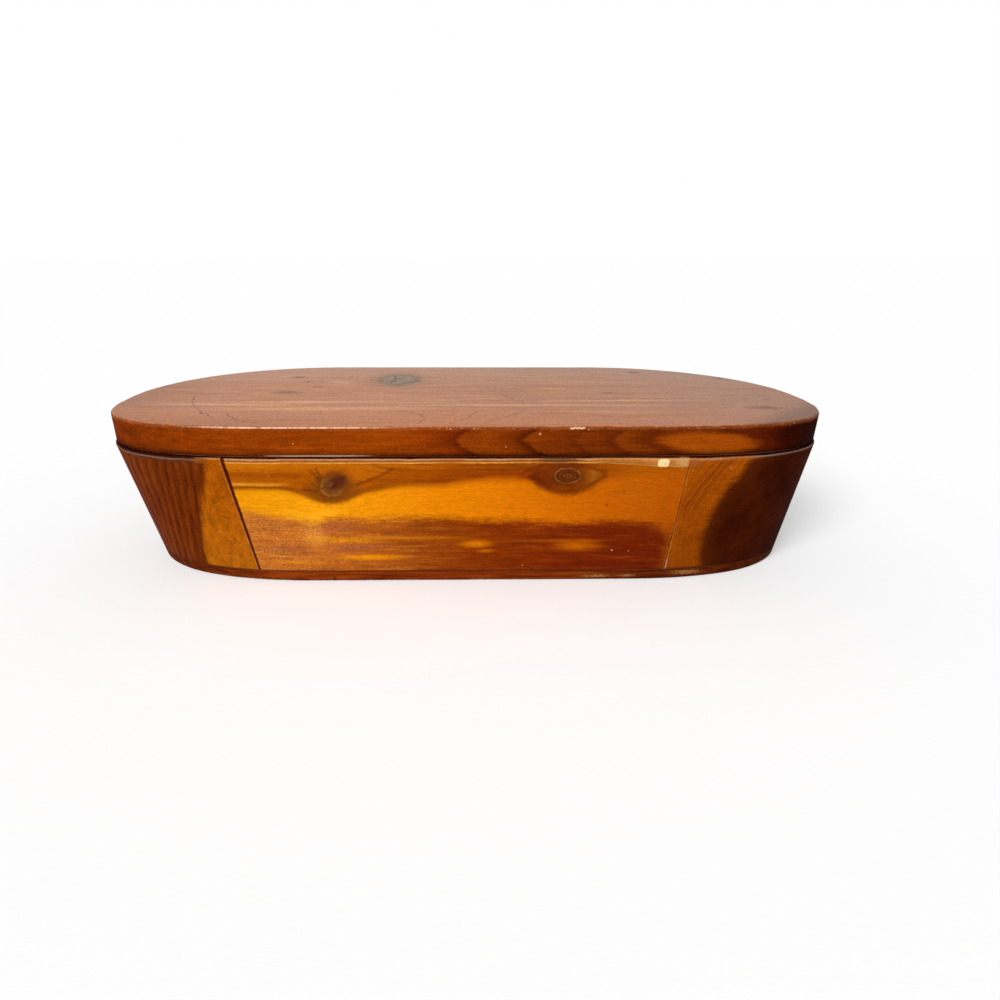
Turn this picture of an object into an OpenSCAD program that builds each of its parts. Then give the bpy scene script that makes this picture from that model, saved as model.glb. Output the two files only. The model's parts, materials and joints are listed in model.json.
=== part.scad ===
// Oval cedar box with flared sides and a flat hinged lid.
// The front faces -Y and the hinges are at +Y. The origin is on the ground, under the middle of the lid.

/* [Lid] */
// Length of the lid from end to end
lid_l = 305; // [270:1:380]
// Width of the lid from front to back
lid_w = 152; // [140:1:190]
// Thickness of the lid board
lid_t = 12.2; // [9:0.1:20]
// How far the lid's edge leans in from its top to its underside
lid_undercut = 1; // [0:0.1:3]
// Radius of the lid's top edge
lid_top_ease = 1.2; // [0.4:0.1:3]
// Radius of the lid's lower edge
lid_low_ease = 0.8; // [0.4:0.1:2]
// Gap between the closed lid and the rim
lid_gap = 0.4; // [0.2:0.1:1]
// Angle at which the lid's back bevel meets the wall's
lid_open = 100; // [80:1:110]

/* [Outline] */
// Distance from the lid's front edge to its longest line
nose_depth = 66; // [56:1:76]
// Length along the front over which each front corner rounds off
front_corner_l = 92; // [60:1:110]
// Length along the back over which each back corner rounds off
back_corner_l = 84; // [60:1:110]
// Length along the base over which each of its front corners rounds off
base_corner_l = 82; // [60:0.5:110]
// Squareness of the front corners at the rim, where 2 is an ellipse
front_corner_n = 3.1; // [2:0.1:4]
// Squareness of the back corners, where 2 is an ellipse
back_corner_n = 2; // [1.8:0.1:4]
// Squareness of the base's front corners, where 2 is an ellipse
base_corner_n = 2.4; // [2:0.1:4]

/* [Walls] */
// Height of the walls between the base and the rim
wall_h = 51.9; // [40:0.1:80]
// Thickness of the front and back boards
wall_t = 12.7; // [11:0.1:16]
// How far the rim stands inside the lid's top outline
rim_inset = 0.2; // [0:0.1:2]
// Radius of the rim's outer edge
rim_ease = 1.2; // [0.4:0.1:3]
// How far the foot of the front stands inside the lid
front_flare = 13.5; // [4:0.5:20]
// How far the foot of the back stands inside the lid
back_flare = 14; // [4:0.5:20]
// How far the foot of the left end stands inside the lid
left_flare = 11.5; // [4:0.1:20]
// How far the foot of the right end stands inside the lid
right_flare = 6.5; // [4:0.1:20]
// Length of the left end block at the rim, from the lid's end to the joint
left_block_l = 57.5; // [40:0.5:75]
// Length of the right end block at the rim, from the lid's end to the joint
right_block_l = 67.5; // [40:0.5:75]
// How far the left joint leans towards the middle at its foot
left_joint_lean = 8; // [0:0.5:12]
// How far the right joint leans towards the middle at its foot
right_joint_lean = 3; // [0:0.5:12]

/* [Base] */
// Thickness of the base board
base_t = 5; // [4:0.1:10]
// Radius of the base board's lower edge
base_round = 1.2; // [0.5:0.1:3.5]

/* [Hinges] */
// Length of each hinge along the back
leaf_l = 30; // [20:1:36]
// Thickness of a hinge leaf
leaf_t = 1; // [0.8:0.1:1.4]
// Wood left between a leaf and the wall's inner face
leaf_margin = 1.4; // [1:0.1:3]
// Outer diameter of the hinge barrel
barrel_d = 3.6; // [3:0.1:4.4]
// Diameter of the hinge pin
pin_d = 1.8; // [1.2:0.1:2]
// Distance from the lid's back edge to the hinge pin
hinge_set_in = 4; // [3.5:0.1:6]
// Distance from the lid's end to the middle of each hinge
hinge_from_end = 104.5; // [95:0.5:112]

/* [Fasteners] */
// Length of a hinge screw
screw_l = 9; // [6:0.5:10]
// Diameter of a hinge screw's shank
screw_d = 2.4; // [1.8:0.1:2.6]
// Diameter of a hinge screw's head
screw_head_d = 4.4; // [3.8:0.1:4.8]
// Distance between the two screws of a leaf
screw_pitch = 18; // [10:1:18]
// Diameter of a brad's shank
brad_d = 1.4; // [1:0.1:2]
// Diameter of a brad's head
brad_head_d = 3; // [2.4:0.1:4]
// Length of a brad
brad_l = 18; // [12:1:20]
// Distance from the foot of the front or back to its row of brads
brad_edge = 5.5; // [4.5:0.1:7]
// Distance from the foot of an end to its pair of brads
end_brad_edge = 16; // [10:1:24]
// Distance between the two brads of an end
end_brad_pitch = 50; // [30:1:60]
// Number of brads along the front, and along the back
brad_row = 4; // [2:1:6]

/* [Hidden] */

// Curve quality
$fn = 48;
corner_steps = 18;
ease_steps = 3;

// Fits and clearances
run_fit = 0.04;
seat_fit = 0.05;
mortise_fit = 0.15;
barrel_fit = 0.5;
knuckle_gap = 0.15;
leaf_gap = 0.2;
bevel_relief = 1;
hole_spare = 0.3;
cut = 5;

// Small shapes of the hardware
knuckles = 5;
screw_tip = 2;
slot_w = 0.5;
slot_depth = 0.45;
pin_chamfer = 0.2;
brad_head_h = 0.6;
brad_tip = 1.5;
row_end = 20;

// Heights
rim_z = base_t + wall_h;
lid_z = rim_z + lid_gap;
top_z = lid_z + lid_t;
axis_z = rim_z + lid_gap / 2;

// The longest line of the plan, and the reach of the lid from it
nose_y = nose_depth - lid_w / 2;
back_depth = lid_w - nose_depth;

// A plan: left, right, front and back reach, front and back corner length, front and back squareness
lid_plan = [
    lid_l / 2, lid_l / 2, nose_depth, back_depth,
    front_corner_l, back_corner_l, front_corner_n, back_corner_n
];
base_plan = [
    lid_l / 2 - left_flare, lid_l / 2 - right_flare, nose_depth - front_flare, back_depth - back_flare,
    base_corner_l, back_corner_l, base_corner_n, back_corner_n
];
function inset(plan, by) = plan - by * [1, 1, 1, 1, 1, 1, 0, 0];
rim_plan = inset(lid_plan, rim_inset);
function lid_plan_at(z) = inset(lid_plan, lid_undercut * (top_z - z) / lid_t);
function body_plan_at(z) = base_plan + (rim_plan - base_plan) * z / rim_z;

// A quarter of a superellipse, from its end on the longest line (from = 0) or back to it (from = 90)
function quarter(centre, reach, n, from) = [
    for (i = [0 : corner_steps])
        let (t = abs(from - 90 * i / corner_steps))
        [centre[0] + reach[0] * pow(cos(t), 2 / n), centre[1] + reach[1] * pow(sin(t), 2 / n)]
];
function all_but_first(points) = [for (i = [1 : len(points) - 1]) points[i]];
function all_but_last(points) = [for (i = [0 : len(points) - 2]) points[i]];

// The closed outline of a plan, anticlockwise from its right end
function outline(plan) =
    let (
        left_f = -plan[0] + plan[4],
        left_b = -plan[0] + plan[5],
        right_f = plan[1] - plan[4],
        right_b = plan[1] - plan[5]
    )
    concat(
        quarter([right_b, nose_y], [plan[5], plan[3]], plan[7], 0),
        quarter([left_b, nose_y], [-plan[5], plan[3]], plan[7], 90),
        all_but_first(quarter([left_f, nose_y], [-plan[4], -plan[2]], plan[6], 0)),
        all_but_last(quarter([right_f, nose_y], [plan[4], -plan[2]], plan[6], 90))
    );
function ring(plan, z) = [for (p = outline(plan)) [p[0], p[1], z]];

// Heights of a board's edge with the amount that each is drawn in, with a radius at its foot and at its top
function edge_profile(z0, z1, foot_r, top_r) = concat(
    foot_r == 0 ? [[z0, 0]] : [
        for (i = [0 : ease_steps])
            let (a = 90 * i / ease_steps)
            [z0 + foot_r * (1 - cos(a)), foot_r * (1 - sin(a))]
    ],
    top_r == 0 ? [[z1, 0]] : [
        for (i = [0 : ease_steps])
            let (a = 90 * i / ease_steps)
            [z1 - top_r * (1 - sin(a)), top_r * (1 - cos(a))]
    ]
);

// A closed skin over rings with equal numbers of points
module loft(rings) {
    n = len(rings[0]);
    last = len(rings) - 1;
    sides = [
        for (r = [0 : last - 1], i = [0 : n - 1])
            let (j = (i + 1) % n)
            each [
                [r * n + i, (r + 1) * n + i, (r + 1) * n + j],
                [r * n + i, (r + 1) * n + j, r * n + j]
            ]
    ];
    floor_face = [for (i = [0 : n - 1]) i];
    roof_face = [for (i = [n - 1 : -1 : 0]) last * n + i];
    polyhedron(points = [for (r = rings) each r], faces = concat([floor_face], sides, [roof_face]));
}

// A prism along Y from an outline in X and Z, and one along X from an outline in Y and Z
module prism_y(points) {
    rotate([90, 0, 0])
        linear_extrude(height = 2 * lid_w, center = true)
            polygon(points);
}
module prism_x(points) {
    rotate([90, 0, 90])
        linear_extrude(height = 2 * lid_l, center = true)
            polygon(points);
}

// Positions of the joints and of the boards' faces at a height
function left_joint_x(z) = left_block_l - lid_l / 2 + left_joint_lean * (rim_z - z) / wall_h;
function right_joint_x(z) = lid_l / 2 - right_block_l - right_joint_lean * (rim_z - z) / wall_h;
function front_y(z) = nose_y - body_plan_at(z)[2];
function back_y(z) = nose_y + body_plan_at(z)[3];
front_wall_t = wall_t / cos(atan2(front_y(0) - front_y(rim_z), rim_z));
back_wall_t = wall_t / cos(atan2(back_y(rim_z) - back_y(0), rim_z));
function front_inner_y(z) = front_y(z) + front_wall_t;
function back_inner_y(z) = back_y(z) - back_wall_t;

// Spaces that divide the ring of walls into its pieces
low_z = base_t - cut;
high_z = rim_z + cut;
module left_of_joint() {
    prism_y([[-lid_l, low_z], [left_joint_x(low_z), low_z], [left_joint_x(high_z), high_z], [-lid_l, high_z]]);
}
module right_of_joint() {
    prism_y([[lid_l, low_z], [right_joint_x(low_z), low_z], [right_joint_x(high_z), high_z], [lid_l, high_z]]);
}
module between_joints() {
    prism_y([
        [left_joint_x(low_z), low_z], [right_joint_x(low_z), low_z],
        [right_joint_x(high_z), high_z], [left_joint_x(high_z), high_z]
    ]);
}
module front_board_space() {
    prism_x([[-lid_w, low_z], [front_inner_y(low_z), low_z], [front_inner_y(high_z), high_z], [-lid_w, high_z]]);
}
module back_board_space() {
    prism_x([[lid_w, low_z], [back_inner_y(low_z), low_z], [back_inner_y(high_z), high_z], [lid_w, high_z]]);
}
module wall_blank() {
    loft([for (p = edge_profile(base_t, rim_z, 0, rim_ease)) ring(inset(body_plan_at(p[0]), p[1]), p[0])]);
}

// Hinge layout, with the pin along X
hinge_y = lid_w / 2 - hinge_set_in;
left_hinge_x = hinge_from_end - lid_l / 2;
right_hinge_x = lid_l / 2 - hinge_from_end;
barrel_r = barrel_d / 2;
recess_r = barrel_r + barrel_fit;
leaf_w = hinge_y - back_inner_y(rim_z) - leaf_margin;
plate_back = barrel_r + leaf_gap;
screw_y = -(leaf_w + plate_back) / 2;
bevel = (lid_open + 2 * bevel_relief) / 2;
module at_left_hinge() {
    translate([left_hinge_x, hinge_y, axis_z]) children();
}
module at_right_hinge() {
    translate([right_hinge_x, hinge_y, axis_z]) children();
}
module at_hinges() {
    at_left_hinge() children();
    at_right_hinge() children();
}
module at_leaf_screws() {
    for (x = [-screw_pitch / 2, screw_pitch / 2])
        translate([x, screw_y, -leaf_gap / 2]) children();
}
module along_x(length, r) {
    rotate([0, 90, 0]) cylinder(h = length, r = r, center = true);
}

// Room for the hinges: the box's half lies below the pin, and the lid's half is its mirror image
module box_hinge_room() {
    floor_z = -leaf_gap / 2 - leaf_t;
    along_x(leaf_l + 2 * barrel_fit, recess_r);
    translate([-leaf_l / 2 - mortise_fit, -leaf_w - mortise_fit, floor_z])
        cube([leaf_l + 2 * mortise_fit, leaf_w + mortise_fit, cut]);
    at_leaf_screws()
        translate([0, 0, -screw_l - hole_spare])
            cylinder(h = screw_l + hole_spare, d = screw_d + 2 * seat_fit);
}
module lid_hinge_room() {
    mirror([0, 0, 1]) box_hinge_room();
}
module wall_bevel() {
    reach = hinge_set_in + cut;
    prism_x([
        [hinge_y, axis_z], [hinge_y + reach, axis_z - reach * tan(bevel)],
        [hinge_y + reach, axis_z + cut], [hinge_y, axis_z + cut]
    ]);
}
module lid_bevel() {
    reach = hinge_set_in + cut;
    prism_x([
        [hinge_y, axis_z], [hinge_y, axis_z - cut],
        [hinge_y + reach, axis_z - cut], [hinge_y + reach, axis_z + reach * tan(bevel)]
    ]);
}

// Places of the brads under the base
brad_from = left_joint_x(base_t) + row_end;
brad_step = (right_joint_x(base_t) - row_end - brad_from) / (brad_row - 1);
module at_brads() {
    for (i = [0 : brad_row - 1], y = [front_y(0) + brad_edge, back_y(0) - brad_edge])
        translate([brad_from + i * brad_step, y, 0]) children();
    for (x = [end_brad_edge - base_plan[0], base_plan[1] - end_brad_edge], side = [-1, 1])
        translate([x, nose_y + side * end_brad_pitch / 2, 0]) children();
}
module brad_hole() {
    cylinder(h = brad_l + hole_spare, d = brad_d + 2 * seat_fit);
    translate([0, 0, -cut]) cylinder(h = cut + brad_head_h + seat_fit, d = brad_head_d + 2 * seat_fit);
}

// The hardware
module leaf(first) {
    pitch = leaf_l / knuckles;
    difference() {
        union() {
            translate([-leaf_l / 2, -leaf_w, -leaf_gap / 2 - leaf_t])
                cube([leaf_l, leaf_w - plate_back, leaf_t]);
            for (i = [first : 2 : knuckles - 1])
                translate([(i + 0.5) * pitch - leaf_l / 2, 0, 0]) {
                    along_x(pitch - knuckle_gap, barrel_r);
                    translate([knuckle_gap / 2 - pitch / 2, -leaf_w / 2 - plate_back / 2, -leaf_gap / 2 - leaf_t])
                        cube([pitch - knuckle_gap, leaf_w / 2 + plate_back / 2, leaf_t]);
                }
        }
        along_x(2 * leaf_l, pin_d / 2 + run_fit);
        at_leaf_screws()
            translate([0, 0, -leaf_t])
                cylinder(h = leaf_t, d1 = screw_d + 2 * seat_fit, d2 = screw_head_d + 2 * seat_fit);
    }
}
module box_leaf() {
    leaf(0);
}
module lid_leaf() {
    mirror([0, 0, 1]) leaf(1);
}
module pin() {
    r = pin_d / 2;
    translate([-leaf_l / 2, 0, 0])
        rotate([0, 90, 0])
            rotate_extrude()
                polygon([
                    [0, 0], [r - pin_chamfer, 0], [r, pin_chamfer],
                    [r, leaf_l - pin_chamfer], [r - pin_chamfer, leaf_l], [0, leaf_l]
                ]);
}
module screw() {
    difference() {
        rotate_extrude()
            polygon([
                [0, 0], [screw_head_d / 2, 0], [screw_d / 2, -leaf_t],
                [screw_d / 2, screw_tip - screw_l], [0, -screw_l]
            ]);
        translate([-screw_head_d, -slot_w / 2, -slot_depth]) cube([2 * screw_head_d, slot_w, cut]);
    }
}
module brad() {
    rotate_extrude()
        polygon([
            [0, 0], [brad_head_d / 2, 0], [brad_head_d / 2, brad_head_h], [brad_d / 2, brad_head_h],
            [brad_d / 2, brad_l - brad_tip], [0, brad_l]
        ]);
}

// What is cut from every piece of the ring of walls
module wall_cuts() {
    wall_bevel();
    at_hinges() box_hinge_room();
    at_brads() brad_hole();
}

// Sub-parts
module lid_board() {
    color("#8a5a44")
        difference() {
            loft([
                for (p = edge_profile(lid_z, top_z, lid_low_ease, lid_top_ease))
                    ring(inset(lid_plan_at(p[0]), p[1]), p[0])
            ]);
            lid_bevel();
            at_hinges() lid_hinge_room();
        }
}
module front_wall() {
    color("#b8651b")
        difference() {
            intersection() {
                wall_blank();
                between_joints();
                front_board_space();
            }
            wall_cuts();
        }
}
module back_wall() {
    color("#a9581c")
        difference() {
            intersection() {
                wall_blank();
                between_joints();
                back_board_space();
            }
            wall_cuts();
        }
}
module left_end_block() {
    color("#7c3f17")
        difference() {
            intersection() {
                wall_blank();
                left_of_joint();
            }
            wall_cuts();
        }
}
module right_end_block() {
    color("#6b3114")
        difference() {
            intersection() {
                wall_blank();
                right_of_joint();
            }
            wall_cuts();
        }
}
module base_board() {
    color("#7a3413")
        difference() {
            loft([
                for (p = edge_profile(0, base_t, base_round, 0))
                    ring(inset(body_plan_at(p[0]), p[1]), p[0])
            ]);
            at_brads() brad_hole();
        }
}
module left_hinge_lid_leaf() {
    color("#b08d3c") at_left_hinge() lid_leaf();
}
module left_hinge_box_leaf() {
    color("#b08d3c") at_left_hinge() box_leaf();
}
module left_hinge_pin() {
    color("#9c7c34") at_left_hinge() pin();
}
module right_hinge_lid_leaf() {
    color("#b08d3c") at_right_hinge() lid_leaf();
}
module right_hinge_box_leaf() {
    color("#b08d3c") at_right_hinge() box_leaf();
}
module right_hinge_pin() {
    color("#9c7c34") at_right_hinge() pin();
}
module lid_hinge_screws() {
    color("#c2a14e") at_hinges() mirror([0, 0, 1]) at_leaf_screws() screw();
}
module box_hinge_screws() {
    color("#c2a14e") at_hinges() at_leaf_screws() screw();
}
module base_brads() {
    color("#8d8f92") at_brads() brad();
}

lid_board();
front_wall();
back_wall();
left_end_block();
right_end_block();
base_board();
left_hinge_lid_leaf();
left_hinge_box_leaf();
left_hinge_pin();
right_hinge_lid_leaf();
right_hinge_box_leaf();
right_hinge_pin();
lid_hinge_screws();
box_hinge_screws();
base_brads();
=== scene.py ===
import bpy
import bmesh
import json
import math
import numpy as np
from mathutils import Matrix, Vector
from mathutils import noise as hills

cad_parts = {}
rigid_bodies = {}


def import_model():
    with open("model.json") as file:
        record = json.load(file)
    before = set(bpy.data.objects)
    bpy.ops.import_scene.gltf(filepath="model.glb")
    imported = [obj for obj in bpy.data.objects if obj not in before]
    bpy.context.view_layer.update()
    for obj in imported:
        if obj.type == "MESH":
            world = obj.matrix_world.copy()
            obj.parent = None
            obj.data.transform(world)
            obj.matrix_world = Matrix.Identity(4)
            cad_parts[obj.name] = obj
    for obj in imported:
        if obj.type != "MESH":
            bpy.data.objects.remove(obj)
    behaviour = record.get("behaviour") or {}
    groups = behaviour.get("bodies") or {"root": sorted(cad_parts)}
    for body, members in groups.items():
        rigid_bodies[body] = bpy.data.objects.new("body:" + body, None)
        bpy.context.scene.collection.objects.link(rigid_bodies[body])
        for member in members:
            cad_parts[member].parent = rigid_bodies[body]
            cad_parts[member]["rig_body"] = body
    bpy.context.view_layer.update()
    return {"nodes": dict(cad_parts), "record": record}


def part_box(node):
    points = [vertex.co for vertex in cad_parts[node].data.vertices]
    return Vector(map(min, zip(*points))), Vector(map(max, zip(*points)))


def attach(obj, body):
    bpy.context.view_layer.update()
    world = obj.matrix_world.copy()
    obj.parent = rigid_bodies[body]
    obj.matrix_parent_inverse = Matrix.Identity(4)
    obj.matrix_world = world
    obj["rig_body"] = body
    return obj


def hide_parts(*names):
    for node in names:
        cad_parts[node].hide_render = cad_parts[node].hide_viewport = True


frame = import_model()
mm = 0.001
hinge = Vector(frame["record"]["behaviour"]["joints"][0]["pos_m"]) / mm
print("frame loaded:", len(frame["nodes"]), "nodes")

# Heights in mm come from the solids, so the boards stay where they are
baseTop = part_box("base_board")[1].z / mm
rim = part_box("front_wall")[1].z / mm
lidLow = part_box("lid_board")[0].z / mm
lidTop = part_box("lid_board")[1].z / mm

# Plans in mm: left, right, front and back reach, front and back corner, front and back squareness
plan = {
    "noseY": -10.0,  # the longest line
    "lid": np.array((152.5, 152.5, 66.0, 86.0, 92.0, 84.0, 3.1, 2.0)),
    "base": np.array((141.0, 146.0, 52.5, 72.0, 82.0, 84.0, 2.4, 2.0)),
    "drawIn": np.array((1.0, 1.0, 1.0, 1.0, 1.0, 1.0, 0.0, 0.0)),
    "undercut": 1.0,
    "rimIn": 0.2,
    "wall": 13.05,  # boards, measured level
    "leftJoint": (-95.0, 8.0),  # at the rim, and its lean to the foot
    "rightJoint": (85.0, -3.0),
}


def bodyPlan(z):
    rimPlan = plan["lid"] - plan["drawIn"] * plan["rimIn"]
    return plan["base"] + (rimPlan - plan["base"]) * z / rim


def jointX(side, z):  # also for a height that is a socket
    atRim, lean = plan[side]
    return atRim + lean / (rim - baseTop) * (rim - z)


def quarter(middle, reachX, reachY, square, turns):
    across = middle + reachX * np.cos(turns) ** (2 / square)
    deep = plan["noseY"] + reachY * np.sin(turns) ** (2 / square)
    return np.stack([across, deep], 1)


def outline(row, fine=240):  # anticlockwise from the right end, by way of the back
    left, right, front, back, frontCorner, backCorner, frontSquare, backSquare = row
    turns = np.linspace(0, math.pi / 2, fine)
    turns[-1] -= 1e-9  # keeps the cosine from going below 0
    rightBack = quarter(right - backCorner, backCorner, back, backSquare, turns)
    leftBack = quarter(backCorner - left, -backCorner, back, backSquare, turns[::-1])
    leftFront = quarter(frontCorner - left, -frontCorner, -front, frontSquare, turns)
    rightFront = quarter(right - frontCorner, frontCorner, -front, frontSquare, turns[::-1])
    return np.concatenate([rightBack, leftBack[:-1], leftFront, rightFront[:-1]])


def evenly(points, count, closed=False):  # the same path with evenly spaced points
    if closed:
        points = np.concatenate([points, points[:1]])
    steps = np.hypot(*np.diff(points, axis=0).T)
    walked = np.concatenate([[0], np.cumsum(steps)])
    stops = np.linspace(0, walked[-1], count, endpoint=not closed)
    return np.stack([np.interp(stops, walked, axis) for axis in points.T], 1)


def sideY(row, x, front):  # depth of the front or back face at x
    left, right, frontReach, backReach, frontCorner, backCorner, frontSquare, backSquare = row
    if front:
        corner, square, reach = frontCorner, frontSquare, -frontReach
    else:
        corner, square, reach = backCorner, backSquare, backReach
    past = np.maximum(0, np.maximum(x - (right - corner), (corner - left) - x)) / corner
    return plan["noseY"] + reach * (1 - np.minimum(past, 1) ** square) ** (1 / square)


def outward(points):  # unit normals of a closed anticlockwise outline
    along = np.roll(points, -1, 0) - np.roll(points, 1, 0)
    along /= np.hypot(*along.T)[:, None]
    return np.stack([along[:, 1], -along[:, 0]], 1)


def quarterTurn(steps, radius, top):  # heights below the top or above the foot, and how far each is drawn in
    turns = np.linspace(0, math.pi / 2, steps + 1)
    rows = [(radius * (1 - math.sin(t)), radius * (1 - math.cos(t))) for t in turns]
    return rows if top else rows[::-1]


def waves(points, size, seed):  # slow noise along an outline
    return np.array([hills.noise(Vector((x / size, y / size, seed))) for x, y in points])


def newObject(name, data):
    made = bpy.data.objects.new(name, data)
    bpy.context.scene.collection.objects.link(made)
    return made


def meshFrom(name, rings):  # a closed skin over rings of equal length, in mm
    count = len(rings[0])
    points = np.concatenate(rings) * mm
    faces = [tuple(range(count))[::-1], tuple((len(rings) - 1) * count + i for i in range(count))]
    for level in range(len(rings) - 1):
        low = level * count
        for i in range(count):
            j = (i + 1) % count
            faces.append((low + i, low + j, low + count + j, low + count + i))
    mesh = bpy.data.meshes.new(name)
    mesh.from_pydata(points.tolist(), [], faces)
    mesh.update()
    return newObject(name, mesh)


def faceOut(mesh):
    work = bmesh.new()
    work.from_mesh(mesh)
    bmesh.ops.remove_doubles(work, verts=work.verts, dist=1e-7)
    bmesh.ops.recalc_face_normals(work, faces=work.faces)
    work.to_mesh(mesh)
    work.free()


def cutterOf(name, shapes):  # boxes, and rods upright or along x, that don't touch each other
    work = bmesh.new()
    for kind, place, size in shapes:
        where = Matrix.Translation(Vector(place) * mm)
        if kind == "box":
            bmesh.ops.create_cube(work, size=1, matrix=where @ Matrix.Diagonal((*(Vector(size) * mm), 1)))
            continue
        if kind == "rodX":
            where = where @ Matrix.Rotation(math.radians(90), 4, "Y")
        radius, length = (value * mm for value in size)
        bmesh.ops.create_cone(work, cap_ends=True, segments=40, radius1=radius, radius2=radius, depth=length,
                              matrix=where)
    mesh = bpy.data.meshes.new(name)
    work.to_mesh(mesh)
    work.free()
    return newObject(name, mesh)


def settle(piece, cutters=(), sharp=32):  # cuts the wood, then keeps the result as a plain mesh
    for cutter in cutters:
        saw = piece.modifiers.new("cut", "BOOLEAN")
        saw.operation = "DIFFERENCE"
        saw.solver = "EXACT"
        saw.object = cutter
    bpy.context.view_layer.update()
    graph = bpy.context.evaluated_depsgraph_get()
    plain = bpy.data.meshes.new_from_object(piece.evaluated_get(graph), depsgraph=graph)
    piece.modifiers.clear()
    rough = piece.data
    piece.data = plain
    bpy.data.meshes.remove(rough)
    plain.name = piece.name
    plain.materials.clear()
    faceOut(plain)
    plain.shade_smooth()
    plain.set_sharp_from_angle(angle=math.radians(sharp))
    return piece


# The lid: one board with a hand-eased edge
lidLook = {
    "points": 420, "topEase": 1.2, "lowEase": 0.8, "wander": 0.3, "steps": 6, "edgeLevels": 4,
    # knocks along the front of the top edge: x, half length, extra radius
    "knocks": [(-8.0, 1.6, 0.5), (6.0, 0.9, 0.5), (27.0, 2.2, 0.45), (46.0, 5.0, 0.5), (-86.0, 1.8, 0.35),
               (-62.0, 1.2, 0.4), (88.0, 2.4, 0.35), (101.0, 1.6, 0.4)],
}


def lidRings(look):
    base = evenly(outline(plan["lid"]), look["points"], closed=True)
    wander = waves(base, 9, 3.1) + 0.5 * waves(base, 2.5, 8.4)
    easeTop = look["topEase"] * (1 + look["wander"] * wander)
    for x, half, extra in look["knocks"]:
        easeTop += np.where(base[:, 1] < -40, extra * np.exp(-((base[:, 0] - x) / half) ** 2), 0)
    easeLow = look["lowEase"] * (1 + look["wander"] * np.roll(wander, 57))
    zero = np.zeros(look["points"])
    span = lidTop - lidLow
    lowTurn = quarterTurn(look["steps"], 1.0, False)
    topTurn = quarterTurn(look["steps"], 1.0, True)
    rows = [(lidLow, zero + 1.5, zero)]
    rows += [(lidLow, easeLow * inward, easeLow * up) for up, inward in lowTurn]
    shares = np.linspace(0.08, 0.86, look["edgeLevels"] + 2)[1:-1]
    rows += [(lidLow, zero, zero + span * share) for share in shares]
    rows += [(lidTop, easeTop * inward, -easeTop * down) for down, inward in topTurn]
    rows.append((lidTop, easeTop + 0.6, zero))
    rings = []
    for level, inward, lift in rows:
        heights = level + lift
        lean = plan["undercut"] * (lidTop - heights) / span
        path = base - outward(base) * (inward + lean)[:, None]
        rings.append(np.column_stack([path, heights]))
    return rings


# The walls: a front and a back board between two thick end blocks
wallLook = {
    "rimEase": 1.2, "footEase": 0.3, "innerEase": 0.5, "cornerEase": 0.28, "step": 0.02, "frontGap": 0.28,
    "backGap": 0.08, "levels": 9, "steps": 5, "across": 150, "behind": 24, "round": 180, "flat": 32,
}


def wallRows(look):  # height, outer draw-in and inner draw-in
    foot, ease, inner = look["footEase"], look["rimEase"], look["innerEase"]
    rows = [(baseTop, foot + 0.3, 0.0), (baseTop, foot, 0.0), (baseTop + 0.1, 0.08, 0.0)]
    rows += [(z, 0.0, 0.0) for z in np.linspace(baseTop + foot, rim - ease, look["levels"])[:-1]]
    eased = rim - look["step"]
    for down, inward in quarterTurn(look["steps"], ease, True):
        rows.append((eased - down, inward, inward * inner / ease))
    return rows + [(eased, ease + 0.9, inner + 0.1), (rim, ease + 1.0, inner + 0.2)]


def easedCorners(path, firstAway, lastAway):  # an outer face with both of its ends rounded off
    corners = []
    for corner, away in ((path[0], firstAway), (path[-1], lastAway)):
        deep = np.sign(plan["noseY"] - corner[1])
        steps = np.array([(0, deep), (0.3 * away, 0.3 * deep), (away, 0)])
        corners.append(corner + wallLook["cornerEase"] * steps)
    return np.concatenate([corners[0], path[1:-1], corners[1][::-1]])


def wallRings(look, front):  # a board between the joints
    side, reach, gap = (1, 2, look["frontGap"]) if front else (-1, 3, look["backGap"])
    rings = []
    for z, inward, inner in wallRows(look):
        row = bodyPlan(z)
        crack = gap * (0.35 + 0.65 * z / rim)  # narrows towards the foot
        x = np.linspace(jointX("leftJoint", z) + crack, jointX("rightJoint", z), look["across"])
        outer = np.column_stack([x, sideY(row - plan["drawIn"] * inward, x, front)])
        face = plan["noseY"] - side * (row[reach] - plan["wall"] + inner)
        behind = np.linspace((x[-1], face), (x[0], face), look["behind"])
        ring = np.concatenate([easedCorners(outer, 1, -1), behind])[::side]
        rings.append(np.column_stack([ring, np.full(len(ring), z)]))
    return rings


def blockRings(look, side):  # an end block, its curved face from joint to joint
    left = side == "leftJoint"
    away = -1 if left else 1
    rings = []
    for z, inward, _ in wallRows(look):
        row = bodyPlan(z) - plan["drawIn"] * inward
        joint = jointX(side, z)
        path = outline(row)
        if not left:
            path = np.roll(path, len(path) // 2, 0)
        path = path[(path[:, 0] - joint) * away > 0.01]
        ends = [(joint, sideY(row, joint, front)) for front in (not left, left)]
        path = evenly(np.concatenate([ends[:1], path, ends[1:]]), look["round"])
        path = easedCorners(path, away, away)
        ring = np.concatenate([path, np.linspace(path[-1], path[0], look["flat"])[1:-1]])
        rings.append(np.column_stack([ring, np.full(len(ring), z)]))
    return rings


baseLook = {"points": 400, "round": 1.2, "topEase": 0.35, "wander": 0.25, "steps": 6, "topSteps": 3}


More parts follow.
